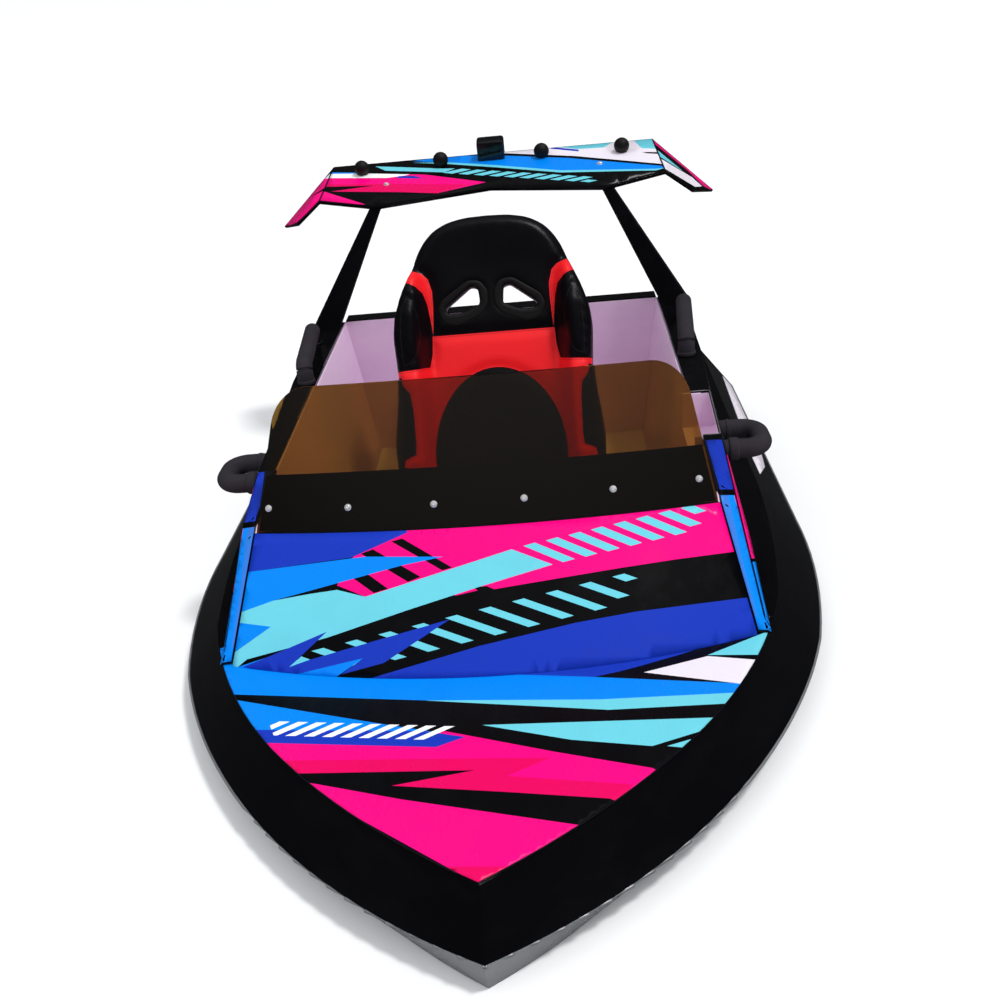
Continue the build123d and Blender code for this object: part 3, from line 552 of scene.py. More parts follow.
def wrap(name, part_name, chosen, shapes, ground="black", spacing=14, slack=0.05, lift=0.4 * MM):
    """Vinyl film over a part's chosen faces, cut into (paint, outline) shapes laid one over the other.

    With no ground, only the shapes themselves are laid.
    """
    edge_loop = anticlockwise(simplified(panel_edge(part_name, chosen, photo_spot), slack))
    edge_loop = drawn_in(edge_loop, FILM_MARGIN_PX)
    flat, triangles = cut_out(edge_loop, [outline for _, outline in shapes], spacing)
    if ground is None:
        triangles = [(tri, number) for tri, number in triangles if number >= 0]
    skin = skin_of(CAD[part_name])
    middle = Vector(np.mean(edge_loop, axis=0))
    points = []
    used = sorted({i for tri, _ in triangles for i in tri})
    order = {old: new for new, old in enumerate(used)}
    for i in used:
        for pull in PULLS_TO_MIDDLE:
            start, way = photo_ray(flat[i].lerp(middle, pull))
            hit, normal, _, _ = skin.ray_cast(start, way)
            if hit is not None:
                break
        toward = normal if normal.dot(way) < 0 else -normal
        points.append(hit + toward * lift)
    names = [ground] + [paint for paint, _ in shapes]
    palette = sorted({names[number + 1] for _, number in triangles})
    mesh = bpy.data.meshes.new(name)
    mesh.from_pydata(points, [], [[order[i] for i in tri] for tri, _ in triangles])
    _, way = photo_ray(middle)
    if sum((p.normal * p.area for p in mesh.polygons), Vector()).dot(way) > 0:
        mesh.flip_normals()
    for paint in palette:
        mesh.materials.append(film_paints[paint])
    mesh.polygons.foreach_set("material_index", [palette.index(names[number + 1]) for _, number in triangles])
    mesh.shade_smooth()
    return film(name, mesh)


def bars(start, step, along, across, count, shares=None):
    """Row of slanted bars: each starts a step on, and runs along and across."""
    made = []
    for k in range(count):
        share = shares[k] if shares else 1
        u, v = start[0] + step[0] * k, start[1] + step[1] * k
        made.append((
            (u, v), (u + across[0], v + across[1]),
            (u + across[0] + along[0] * share, v + across[1] + along[1] * share),
            (u + along[0] * share, v + along[1] * share),
        ))
    return made


# Foredeck shapes, as outlines in photograph pixels, from the cowl's foot to the bow
DECK_SHAPES = [
    ("azure", ((200, 655), (213.6, 666), (227.7, 694.7), (422.8, 700.8), (599.3, 703.5), (734, 698),
               (746, 684), (593.8, 677.4), (480, 655), (250, 640))),
    ("royal", ((370, 678.6), (480, 673.9), (593.8, 677.4), (619, 672), (640, 666.5), (680, 655), (745, 634),
               (745, 615), (600, 640), (400, 650))),
    ("cyan", ((425, 701), (480, 700.6), (599.3, 699.9), (740, 692.9), (730.4, 703.8), (609, 710.3),
              (480, 703.8))),
    ("cyan", ((482.2, 725.5), (571.1, 740.2), (652.4, 746.5), (706.6, 729.8), (719, 717.8))),
    ("cyan", ((666.9, 746.5), (702, 736.5), (689, 748.6))),
    ("cyan", ((707.7, 655.5), (763, 655.2), (776, 628.4))),
    ("pearl", ((643.7, 672.8), (707.7, 656.5), (762, 660.6), (747, 684.9))),
    ("azure", ((227, 699), (375.1, 723.3), (470, 738), (253, 731))),
    ("royal", ((250, 730.3), (425, 731.5), (465.1, 737.4), (435.9, 747.6), (260, 743.7))),
    ("magenta", ((260, 743.3), (435.9, 747.6), (465.1, 737.4), (436, 733.2), (444, 731.4), (555.1, 752.3),
                 (652, 768.4), (662, 773), (620.2, 803), (609.9, 799), (504.1, 792.3), (391.8, 786.2),
                 (474.7, 770.7), (296, 774))),
    ("rose", ((270, 761.2), (550, 758.2), (506.6, 776.5), (633, 785), (620, 803), (609.9, 799),
              (504.1, 792.3), (391.8, 786.2), (474.7, 770.7), (296, 774))),
    ("magenta", ((309, 783.2), (402, 800), (583, 826.1), (507.9, 870.5), (480.6, 887), (446.7, 867.5),
                 (348, 813))),
    # The rose triangle at the bow's very tip is painted shade over the magenta
    ("rose", ((446, 867.1), (512, 866.9), (480.6, 887))),
]
DECK_SHAPES += [("white", bar) for bar in bars((248.7, 735.3), (18.3, 0.52), (31, -13.4), (10.3, 0.1), 10)]
DECK_SHAPES += [
    ("azure", ((240, 718), (268.2, 721), (271.7, 730.3), (240, 730.3))),
    ("royal", ((240, 730.3), (271.7, 730.3), (274.6, 738), (240, 738))),
]
wrap("foredeck_film", "foredeck", lambda centre, normal: normal.z > 0.9, DECK_SHAPES, spacing=7,
     lift=0.7 * MM)

# A clear-lacquered bead of sealant covers the edge of the deck's film along both side decks
bead_lacquer = finish("bead_lacquer", BLACK, 0.1, sprayed_group, worn=srgb(13, 13, 15), bump=0.02,
                      Specular_IOR_Level=0.5)
BEAD_RADIUS = 1.5 * MM
BEAD_STEP = 0.008
deck_rim = panel_edge("foredeck", lambda centre, normal: normal.z > 0.9, tuple)
for side, side_name in ((1, "port"), (-1, "starboard")):
    outermost = {}
    for x, y, z in sorted((p for p in deck_rim if p[0] * side > 0.004), key=lambda p: abs(p[0])):
        key = round(y / BEAD_STEP)
        if key not in outermost or abs(x) > abs(outermost[key][0]):
            outermost[key] = (x, y, z)
    line = [outermost[key] for key in sorted(outermost)]
    shape = tube("deck_bead", evened(line, 0.01), BEAD_RADIUS, sides=8)
    bead = object_of(f"deck_bead_{side_name}", shape, bead_lacquer)
    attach(bead, "hull")

# Cowl shapes, from the windscreen's flange down to the fold over the deck
COWL_SHAPES = [
    ("royal", ((230, 525), (415.7, 525), (415.7, 532.7), (352.4, 557.5), (244, 572.6))),
    ("magenta", ((400, 520), (720, 490), (740, 551), (675.1, 559.6), (618.8, 568.3), (566.7, 577),
                 (494.1, 589.3), (486.8, 586.1), (365.4, 596.9), (337.2, 585.6), (353.5, 556.8),
                 (407.7, 532.5))),
    ("magenta", ((477.8, 590.5), (455.5, 595.8), (453.6, 594), (474, 588))),
]
COWL_SHAPES += [("black", bar) for bar in (
    ((361.1, 553.8), (373, 549.4), (420.7, 577), (408.1, 582)),
    ((391.4, 541.6), (402.2, 538.6), (452.1, 567.6), (442.4, 570.5)),
    ((353.5, 578.5), (367.6, 574.2), (388.2, 588.9), (374.1, 593.2)),
)]
COWL_SHAPES += [
    ("azure", ((240, 573.2), (364.3, 556.8), (443.4, 556.8), (402.2, 565.5), (294.9, 595), (273.2, 600.8),
               (225, 618))),
    ("cyan", ((225, 618.2), (273.2, 600.8), (310, 594), (337.2, 590), (365.4, 596.9), (511.7, 549.4),
              (552.6, 564.6), (480, 586.7), (453.2, 595.4), (409.8, 609.5), (375.1, 621.4), (327.4, 637.7),
              (247.2, 659.4), (238.1, 667), (224, 668), (232, 654.4), (271.1, 626.8), (225, 621))),
    ("azure", ((225, 621), (271.1, 626.8), (222, 661))),
]
COWL_SHAPES += [("cyan", bar) for bar in bars((523.4, 546), (22.45, -5.4), (39.8, 16.2), (11.5, -3.2), 8,
                                              (1, 1, 1, 1, 1, 1, 0.8, 0.36))]
COWL_SHAPES += [("cyan", bar) for bar in bars((311.6, 651.1), (33.4, -8.25), (49.9, 17.3), (11.9, -3.2), 10,
                                              (1, 1, 1, 1, 1, 1, 1, 1, 0.78, 0.27))]
COWL_SHAPES += [
    ("azure", ((238.1, 667), (266.7, 657.6), (300, 660), (363.2, 658.3), (330.7, 681), (300, 690),
               (230, 680))),
    ("royal", ((242.9, 667), (266.7, 657.6), (327, 631.8), (289.5, 667), (310.1, 659.8), (450, 619.3),
               (420.7, 638.8), (383.8, 663.1), (341.5, 674.5), (363.2, 658.3), (284.1, 677.4))),
    ("cyan", ((289.5, 667), (301.6, 656.5), (310.1, 659.6))),
    ("royal", ((370, 678.6), (480, 645.9), (575.4, 622.9), (636.1, 611.7), (755, 596.6), (760, 640),
               (593.8, 685), (480, 690))),
]
wrap("cowl_film", "cowl", lambda centre, normal: normal.y < -0.3, COWL_SHAPES, slack=0.02)

# Cheek shapes, port: the flat top folds royal above the black band and azure below it,
# and the outer wall is magenta above and azure below. The starboard cheek is its twin.
CHEEK_TOP_SHAPES = [
    ("royal", ((690, 440), (770, 440), (770, 489.6), (690, 489.6))),
    ("azure", ((700, 495.4), (770, 495.4), (790, 640), (740, 640))),
    # The lighter azure streak down the top is a painted highlight along the lit facet of the top
    ("sky_blue", ((715, 495.4), (728, 495.4), (742, 560), (757, 616), (748, 616))),
    ("magenta", ((729, 464), (760, 464), (770, 487), (737.5, 487))),
    ("magenta", ((734, 495.4), (770, 495.4), (780, 558), (750.8, 558))),
]
CHEEK_WALL_SHAPES = [
    ("magenta", ((715, 455), (770, 455), (780, 558.6), (730, 558.6))),
    ("azure", ((730, 562), (790, 562), (800, 640), (740, 640))),
]
cheek_film = wrap("cheek_film_port", "cheek_port",
                  lambda centre, normal: normal.z > 0.45 and centre.x > 0, CHEEK_TOP_SHAPES, spacing=7)
cheek_wall_film = wrap("cheek_wall_film_port", "cheek_port",
                       lambda centre, normal: normal.z <= 0.45 and normal.x > 0.5, CHEEK_WALL_SHAPES,
                       spacing=7, lift=1.2 * MM)
twin(cheek_film, "cheek_film_starboard")
twin(cheek_wall_film, "cheek_wall_film_starboard")

# Topside shapes, port: ten white slashes and a long bar by the cockpit, on the bare gloss
TOPSIDE_SHAPES = [("white", bar) for bar in bars((701.6, 321.6), (1.93, 5.36), (8.0, 6.4), (0.7, 2.9), 10)]
TOPSIDE_SHAPES += [
    ("pearl", ((722.4, 375.8), (728.4, 378.5), (749.8, 426), (757, 444), (750, 446), (740.4, 425.4))),
    ("pearl", ((751.8, 456.8), (761.2, 453.5), (764.8, 466.9), (759.9, 474.2))),
]
topside_film = wrap("topside_film_port", "topside_port",
                    lambda centre, normal: normal.z > 0.2, TOPSIDE_SHAPES, ground=None, spacing=8)
twin(topside_film, "topside_film_starboard")

# Wing shapes, from its starboard end to its port end, and those of the two winglets
WING_SHAPES = [
    ("magenta", ((320, 178.4), (386.9, 178.5), (409.9, 174.5), (425, 174.8), (485.9, 182.4), (437.1, 193.5),
                 (401.3, 192.4), (330, 191.8), (320, 190))),
    ("rose", ((320, 184.6), (400, 184.2), (470, 184.6), (437.1, 193.5), (401.3, 192.4), (330, 191.8),
              (320, 190))),
    ("black", ((320, 187.3), (374.5, 185.8), (330, 191.9), (320, 192))),
    ("azure", ((326, 172.6), (356, 172.8), (354, 174.4), (324, 174.6))),
    ("white", ((322, 174.3), (366.8, 173.7), (409.9, 174.5), (404, 176), (386.9, 178.2), (320, 178.4))),
    ("royal", ((395.5, 178.2), (399, 176.4), (412.8, 175.9), (424, 178.8))),
    ("magenta", ((324.5, 191.9), (365.6, 204.7), (316, 203.4), (318, 192))),
    ("cyan", ((375.4, 166.6), (440, 168.7), (455, 168.7), (444.3, 172.6), (385.5, 170.9))),
    ("azure", ((412.8, 161.4), (432.8, 158.7), (450.8, 156.4), (474.5, 155.8), (503.8, 155.8), (568.3, 158.2),
               (660.8, 166), (668.1, 167.5), (656, 169), (561, 170.6), (495, 165.3), (447.2, 162.6))),
    ("cyan", ((447.2, 162.6), (495, 165.3), (561, 170.6), (656, 169), (668.1, 167.5), (656, 170.6),
              (561, 172.7), (495, 167.5), (447, 164.2), (412.8, 163))),
    # The pearl wedge over the port half of the wing's top is painted glare, a reflection where the top
    # catches the light; the shapes laid after it are print
    ("pearl", ((503.8, 151.4), (533.1, 149), (610, 142.4), (654.2, 136), (668, 142), (672, 164.6),
               (668.1, 165), (656.4, 163.6), (574.2, 156.2), (503.8, 153.4))),
    ("royal", ((550.7, 147.2), (578.6, 149.8), (578.6, 151.6), (550.7, 149))),
    ("cyan", ((552.2, 147), (613.8, 142), (603.6, 147.7), (578.6, 149.3))),
    ("cyan", ((632.9, 140), (653.4, 139), (668, 146), (668, 149.4), (641.7, 148.5))),
    ("black", ((641.7, 152.2), (668, 152.4), (668, 154.6), (647, 153.6))),
]
WING_SHAPES += [("cyan", bar) for bar in bars((443, 173), (15.2, 0.95), (19, -4.2), (9.2, 0.9), 10,
                                              (1, 1, 1, 1, 1, 1, 1, 1, 1, 0.45))]
wrap("wing_film", "wing", lambda centre, normal: normal.z > 0.9, WING_SHAPES)
PORT_WINGLET_SHAPES = [
    ("magenta", ((645, 128), (698.9, 159), (720, 186), (718, 194), (704, 186.6), (686, 169.5), (653.5, 143.2),
                 (645, 139))),
    ("cyan", ((645, 142.5), (651, 145), (683, 171.5), (660.7, 157.5), (645, 152))),
    ("pearl", ((645, 158.5), (660.6, 158.8), (692, 177.5), (702, 186.5), (695, 187), (666, 169.5),
               (645, 163))),
]
STARBOARD_WINGLET_SHAPES = [
    ("magenta", ((342, 178), (325, 178.6), (294.8, 206.4), (283, 228), (297, 222.6), (317.3, 203.4),
                 (326, 191.6), (342, 190))),
    ("black", ((342, 187.6), (324.6, 188), (308, 198.6), (323.8, 190.6), (342, 190.6))),
    ("pearl", ((342, 172), (330, 174), (296.5, 205.2), (294.5, 207.4), (325, 178.8), (342, 178))),
]
wrap("winglet_film_port", "winglet_port", lambda centre, normal: normal.z > 0.5, PORT_WINGLET_SHAPES)
wrap("winglet_film_starboard", "winglet_starboard", lambda centre, normal: normal.z > 0.5,
     STARBOARD_WINGLET_SHAPES)


# The windscreen is a 6 mm sheet of smoked brown acrylic, bowed over the cowl and held against
# the black flange behind it by six dome-headed bolts.
def passes_light(made, tint):
    """Clear plastic that casts a tinted shadow, not a black one."""
    tree = made.node_tree
    clear = node(tree, "ShaderNodeBsdfTransparent", {"Color": (*tint, 1)})
    path = node(tree, "ShaderNodeLightPath")
    mixed = node(tree, "ShaderNodeMixShader")
    tree.links.new(path.outputs["Is Shadow Ray"], mixed.inputs[0])
    tree.links.new(tree.nodes["Principled BSDF"].outputs["BSDF"], mixed.inputs[1])
    tree.links.new(clear.outputs["BSDF"], mixed.inputs[2])
    tree.links.new(mixed.outputs["Shader"], tree.nodes["Material Output"].inputs["Surface"])
    return made


SMOKE = (0.272, 0.142, 0.02)
smoked_acrylic = finish("smoked_acrylic", SMOKE, 0.03, mottled_group, worn=tuple(0.94 * c for c in SMOKE),
                        bump=0.0, spread=0.02, Transmission_Weight=1.0, IOR=1.49, Specular_IOR_Level=0.15)
passes_light(smoked_acrylic, SMOKE)
dress(smoked_acrylic, "windscreen", edge=0.9)


def turned(name, profile, sides=24):
    """Turned piece about Z, from (radius, height) pairs with a point at each end."""
    points = []
    faces = []
    for radius, height in profile:
        for k in range(sides):
            turn = 2 * math.pi * k / sides
            points.append((radius * math.cos(turn), radius * math.sin(turn), height))
    for ring in range(len(profile) - 1):
        for k in range(sides):
            a = ring * sides + k
            b = ring * sides + (k + 1) % sides
            faces.append((a, b, b + sides, a + sides))
    mesh = mesh_of(name, points, faces)
    work = bmesh.new()
    work.from_mesh(mesh)
    bmesh.ops.remove_doubles(work, verts=work.verts, dist=1e-6)
    bmesh.ops.contextual_create(work, geom=[e for e in work.edges if e.is_boundary])
    bmesh.ops.recalc_face_normals(work, faces=work.faces)
    work.to_mesh(mesh)
    work.free()
    return mesh


def set_on(mesh, place, way):
    """Turn a mesh's Z axis to a direction and move it to its place."""
    mesh.transform(Matrix.Translation(place) @ Vector(way).to_track_quat("Z", "Y").to_matrix().to_4x4())
    return mesh


# Places of the six bolts in the photograph, starboard to port
SCREEN_BOLTS_PX = ((268.5, 508.5), (347.9, 507.5), (433.7, 504.1), (524.1, 498), (613.1, 489), (699.2, 478.7))
BOLT_PROFILE = [(0, 3.6), (1.2, 3.5), (1.3, 2.4), (1.6, 2.3), (1.9, 3.3), (3.4, 2.8), (4.7, 1.9), (5.4, 0.8),
                (5.5, 0), (5.5, -0.5), (7.2, -0.5), (7.2, -1.2), (0, -1.2)]
bolt_steel = finish("bolt_steel", srgb(240, 240, 242), 0.2, mottled_group, scale=6, worn=srgb(196, 196, 198),
                    bump=0.05, spread=0.15, Metallic=0.45)
WASHER_SEAT = 1.1 * MM
WASHER_GASKET = 0.15 * MM


def bolt_at(name, place, way, body, size=1.0):
    """Dome-headed steel bolt on a surface."""
    shape = turned("bolt", [(radius * MM * size, height * MM * size) for radius, height in BOLT_PROFILE])
    made = object_of(name, set_on(shape, place + WASHER_SEAT * size * Vector(way).normalized(), way),
                     bolt_steel)
    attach(made, body)


screen_skin = skin_of(CAD["windscreen"])
for number, spot in enumerate(SCREEN_BOLTS_PX):
    hit, normal, _, _ = screen_skin.ray_cast(*photo_ray(spot))
    bolt_at(f"screen_bolt_{number}", hit + WASHER_GASKET * normal, normal, "hull")

# A black rubber strip closes the gap between each side edge of the screen and the cheek. It is
# pressed over the cheek's inner edge and follows the screen's lean.
SEAL_PX = ((703.5, 441), (707.5, 455), (712, 470), (716.5, 486), (721, 502))
rubber = finish("seal_rubber", srgb(9, 9, 10), 0.6, mottled_group, scale=3, worn=srgb(13, 13, 14), bump=0.1,
                Specular_IOR_Level=0.2)
SEAL_RADIUS = 5 * MM
TO_CHEEK_PX = 5
cheek_skin = skin_of(CAD["cheek_port"])
seal_path = []
for spot in SEAL_PX:
    beside = cheek_skin.ray_cast(*photo_ray((spot[0] + TO_CHEEK_PX, spot[1])))[0]
    start, way = photo_ray(spot)
    if beside is not None:
        seal_path.append(start + way * ((beside - start).dot(way)))
for side, side_name in ((1, "port"), (-1, "starboard")):
    shape = tube("seal", evened([(side * p.x, p.y, p.z) for p in seal_path], 0.01), SEAL_RADIUS, sides=12)
    seal = object_of(f"screen_seal_{side_name}", shape, rubber)
    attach(seal, "hull")


# The cockpit is lined with aluminium sheet under satin lilac paint. Its floor carries foam
# mats cut in planks. The rear wall is black on its outer side, towards the stern.
lilac_paint = finish("lilac_paint", srgb(240, 210, 238), 0.42, sprayed_group, scale=0.8,
                     worn=srgb(231, 199, 230), bump=0.05, spread=0.14, Specular_IOR_Level=0.35)
dress(lilac_paint, "lining_port", "lining_starboard", "rear_wall", "recess_ledge", "engine_box", "engine_lid")
dress(gloss_black, "footwell_bulkhead")
wall_sheet = CAD["rear_wall"].data
wall_sheet.materials.append(gloss_black)
for polygon in wall_sheet.polygons:
    if polygon.normal.y > 0.5:
        polygon.material_index = 1
dress(bare_aluminium, "cockpit_floor", edge=0.6)


def pressed(tree, where, scale):
    """Closed foam: a fine even pore with a few rubbed places."""
    pores = node(tree, "ShaderNodeTexVoronoi", {"feature": "F1"}, Vector=where,
                 Scale=scaled(tree, scale, 900))
    rubbed = node(tree, "ShaderNodeTexNoise", {"Detail": 4}, Vector=where, Scale=scaled(tree, scale, 14))
    return rubbed.outputs["Fac"], pores.outputs["Distance"]


def slab(name, corners, low, high, rounding):
    """Flat plate between two heights, its upright corners and its rims rounded."""
    points = [(x, y, z) for z in (low, high) for x, y in corners]
    count = len(corners)
    faces = [tuple(reversed(range(count))), tuple(range(count, 2 * count))]
    faces += [(k, (k + 1) % count, (k + 1) % count + count, k + count) for k in range(count)]
    mesh = mesh_of(name, points, faces)
    work = bmesh.new()
    work.from_mesh(mesh)
    upright = [e for e in work.edges if abs(e.verts[0].co.z - e.verts[1].co.z) > 1e-6]
    bmesh.ops.bevel(work, geom=upright, offset=rounding * 2.5, segments=4, affect="EDGES", profile=0.5)
    rims = [e for e in work.edges if len(e.link_faces) == 2 and e.calc_face_angle() > 1.2]
    bmesh.ops.bevel(work, geom=rims, offset=rounding * 0.45, segments=2, affect="EDGES", profile=0.5)
    work.to_mesh(mesh)
    work.free()
    return mesh


foam_group = effect("closed_foam", pressed)
mat_foam = finish("mat_foam", srgb(52, 50, 55), 0.85, foam_group, scale=0.7, worn=srgb(64, 62, 66), bump=0.35)
floor_low, floor_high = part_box("cockpit_floor")
MAT_THICKNESS = 5 * MM
PLANK_WIDTH = 62 * MM
PLANK_GAP = 5 * MM
PLANK_COUNT = 11
MAT_CORNER_HALF = 0.33
MAT_CORNER_SLOPE = 2.0
mat_front = floor_low.y + 0.02
mat_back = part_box("engine_box")[0].y - 0.012
for number in range(PLANK_COUNT):
    middle = (number - (PLANK_COUNT - 1) / 2) * (PLANK_WIDTH + PLANK_GAP)
    left, right = middle - PLANK_WIDTH / 2, middle + PLANK_WIDTH / 2
    plank_front = mat_front + max(0.0, max(abs(left), abs(right)) - MAT_CORNER_HALF) * MAT_CORNER_SLOPE
    corners = ((left, plank_front), (right, plank_front), (right, mat_back), (left, mat_back))
    shape = slab("plank", corners, floor_high.z + 0.0002, floor_high.z + MAT_THICKNESS, 3 * MM)
    plank = object_of(f"floor_mat_{number}", shape, mat_foam)
    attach(plank, "hull")

# The armrest recess is closed round its outer side by a folded sheet in the same paint. Thin pale metal beads
# along the sheet's cut edges in the black coaming and along the coamings' inner top edges are painted
# highlights, the bright lines those edges show in the light.
RECESS_FORE, RECESS_AFT = -0.168, 0.098
RECESS_FLOOR, RECESS_TOP = 0.3415, 0.4275
RECESS_INNER = 0.4615
WALL_CREASE, WALL_FOOT, WALL_FLARE = 0.517, 0.580, 0.014
CREASE_HEIGHT, WALL_HEIGHT = 0.433, 0.243
WALL_SHEET = 0.0055


def recess_wall(y, z):
    """Inner face of the outer wall beside the recess."""
    share = (y + 0.200) / 0.300
    crease = WALL_CREASE + WALL_FLARE * share
    foot = WALL_FOOT + WALL_FLARE * share
    return crease + (foot - crease) * (CREASE_HEIGHT - z) / WALL_HEIGHT - WALL_SHEET


liner_points = []
liner_faces = []
rows = [RECESS_FORE + (RECESS_AFT - RECESS_FORE) * k / 12 for k in range(13)]
turn_in = 0.012
for y in rows:
    low_x, top_x = recess_wall(y, RECESS_FLOOR), recess_wall(y, RECESS_TOP)
    liner_points += [(low_x - 0.040, y, RECESS_FLOOR), (low_x - turn_in, y, RECESS_FLOOR),
                     (low_x - turn_in * 0.3, y, RECESS_FLOOR + turn_in * 0.3),
                     (recess_wall(y, RECESS_FLOOR + turn_in), y, RECESS_FLOOR + turn_in),
                     (top_x, y, RECESS_TOP)]
for k in range(len(rows) - 1):
    liner_faces += [(5 * k + j, 5 * k + j + 1, 5 * k + j + 6, 5 * k + j + 5) for j in range(4)]
for y in (RECESS_FORE, RECESS_AFT):
    first = len(liner_points)
    liner_points += [(RECESS_INNER, y, RECESS_FLOOR), (recess_wall(y, RECESS_FLOOR), y, RECESS_FLOOR),
                     (recess_wall(y, RECESS_TOP), y, RECESS_TOP), (RECESS_INNER, y, RECESS_TOP)]
    liner_faces.append((first, first + 1, first + 2, first + 3))
liner = object_of("recess_liner", mesh_of("recess_liner", liner_points, liner_faces, smooth=False),
                  lilac_paint)
liner_sheet = liner.modifiers.new("sheet", "SOLIDIFY")
liner_sheet.thickness = 0.0012
liner_sheet.offset = 0
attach(liner, "hull")
# Pale metal colour of the painted highlight beads
painted_highlight_edge = finish("painted_highlight_edge", srgb(214, 214, 218), 0.3, mottled_group, scale=5, worn=srgb(96, 94, 96),
                   bump=0.2, spread=0.3, Metallic=0.7)
CAP_TOP = 0.4335
rim_path = evened([(0.480, -0.1705, CAP_TOP), (0.516, -0.1705, CAP_TOP), (0.5175, -0.168, CAP_TOP),
                   (0.5300, 0.097, CAP_TOP), (0.5285, 0.1005, CAP_TOP), (0.480, 0.1005, CAP_TOP)], 0.012)
recess_rim = object_of("recess_painted_highlight_edge", tube("recess_painted_highlight_edge", rim_path, 1.1 * MM, sides=8), painted_highlight_edge)
crease_edges = [recess_rim]
# Painted highlight beads along both coamings' inner top edges
for side, side_name in ((1, "port"), (-1, "starboard")):
    crease = [(side * 0.4795, 0.112, CAP_TOP - 0.0005), (side * 0.4802, 0.400, CAP_TOP - 0.0005),
              (side * 0.4815, 0.560, CAP_TOP - 0.0005)]
    crease_edges.append(object_of(f"coaming_painted_highlight_edge_{side_name}",
                                  tube("painted_highlight_edge", evened(crease, 0.02), 0.9 * MM, sides=8), painted_highlight_edge))
for edge_line in crease_edges:
    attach(edge_line, "hull")


# The bucket seat's back is a foam body on a shell, in a cover sewn from black and red
# leatherette, with deep side pads and two harness slots framed in moulded plastic.
SEAT_LEAN = math.radians(24)
SEAT_CORNER = Vector((0, 0.285, 0.060))
SEAT_UP = Vector((0, math.sin(SEAT_LEAN), math.cos(SEAT_LEAN)))
SEAT_OUT = Vector((0, -math.cos(SEAT_LEAN), math.sin(SEAT_LEAN)))
SEAT_TOP = 799
PAD_PROUD = 75
BACK_DEPTH = 70


def seat_place(x, up, out):
    """Point on the seat, from millimetres across, up its back and out of its face."""
    return SEAT_CORNER + MM * (x * Vector((1, 0, 0)) + up * SEAT_UP + out * SEAT_OUT)


def softened(loop, step, passes):
    """Closed outline with even steps and its corners rounded off."""
    closed = [Vector((*p, 0)) for p in loop + loop[:1]]
    even = np.array([tuple(p)[:2] for p in evened(closed, step)][:-1])
    for _ in range(passes):
        even = (np.roll(even, 1, axis=0) + 2 * even + np.roll(even, -1, axis=0)) / 4
    return [tuple(p) for p in even]


def both_ways(half):
    """Closed outline from its port half, foot to top."""
    return list(half) + [(-x, up) for x, up in reversed(half) if abs(x) > 0.01]


def reach(points, loops):
    """Distance from each flat point to the nearest of the closed outlines."""
    nearest = np.full(len(points), 1e9)
    for loop in loops:
        starts = np.array(loop)
        ways = np.roll(starts, -1, axis=0) - starts
        lengths = np.maximum((ways**2).sum(axis=1), 1e-9)
        gap = points[:, None, :] - starts[None, :, :]
        share = np.clip((gap * ways[None]).sum(axis=2) / lengths, 0, 1)
        away = np.linalg.norm(gap - share[..., None] * ways[None], axis=2)
        nearest = np.minimum(nearest, away.min(axis=1))
    return nearest


def rounded_fall(away, radius):
    """How far a rounded rim has dropped at a distance from its edge."""
    share = np.clip(away / radius, 0, 1)
    return radius * (1 - np.sqrt(1 - (1 - share) ** 2))


def moulded(name, edge_loop, zones, holes, front_of, back_of, spacing, rings, ground, finishes, walls=4,
            bulge=0):
    """Closed padded body between two relief functions of (points, distance to the rim, distance to a seam).

    Zones are (finish, outline) areas of its front, rings the distances from the rim that get extra rows.
    """
    outlines = [outline for _, outline in zones]
    extra = [drawn_in(anticlockwise(edge_loop), ring) for ring in rings]
    flat, triangles = cut_out(edge_loop, outlines + holes + extra, spacing)
    kept = []
    for tri, number in triangles:
        centre = sum((flat[i] for i in tri), Vector((0, 0))) / 3
        if any(inside(centre, hole) for hole in holes):
            continue
        owner = [k for k, outline in enumerate(outlines) if inside(centre, outline)]
        kept.append((tri, owner[-1] if owner else -1))
    used = sorted({i for tri, _ in kept for i in tri})
    order = {old: new for new, old in enumerate(used)}
    spots = np.array([tuple(flat[i]) for i in used])
    rim_away = reach(spots, [edge_loop] + holes)
    seam_away = np.minimum(reach(spots, outlines), rim_away) if outlines else rim_away
    front = front_of(spots, rim_away, seam_away)
    back = back_of(spots, rim_away, seam_away)
    count = len(used)
    points = [seat_place(x, up, out) for (x, up), out in zip(spots.tolist(), front.tolist())]
    points += [seat_place(x, up, out) for (x, up), out in zip(spots.tolist(), back.tolist())]
    faces = [[order[i] for i in tri] for tri, _ in kept]
    names = [ground] + [paint for paint, _ in zones]
    paints = [names[owner + 1] for _, owner in kept]
    sides = {}
    for tri in faces:
        for a, b in zip(tri, tri[1:] + tri[:1]):
            sides[(a, b)] = 1
    border = [(a, b) for a, b in sides if (b, a) not in sides]
    faces += [[i + count for i in reversed(tri)] for tri in faces]
    paints += [ground] * len(kept)
    onward = dict(border)
    behind = {b: a for a, b in border}
    rows = {}
    for here in onward:
        way = Vector(spots[onward[here]] - spots[behind[here]]).normalized()
        outwards = Vector((way.y, -way.x))
        column = [here]
        for row in range(1, walls):
            share = row / walls
            x, up = Vector(spots[here]) + bulge * math.sin(math.pi * share) * outwards
            points.append(seat_place(x, up, float(front[here] * (1 - share) + back[here] * share)))
            column.append(len(points) - 1)
        rows[here] = column + [here + count]
    for a, b in border:
        for row in range(walls):
            faces.append([rows[a][row], rows[a][row + 1], rows[b][row + 1], rows[b][row]])
            paints.append(ground)
    mesh = mesh_of(name, points, faces)
    palette = sorted(set(paints))
    for paint in palette:
        mesh.materials.append(finishes[paint])
    mesh.polygons.foreach_set("material_index", [palette.index(paint) for paint in paints])
    return object_of(name, mesh)


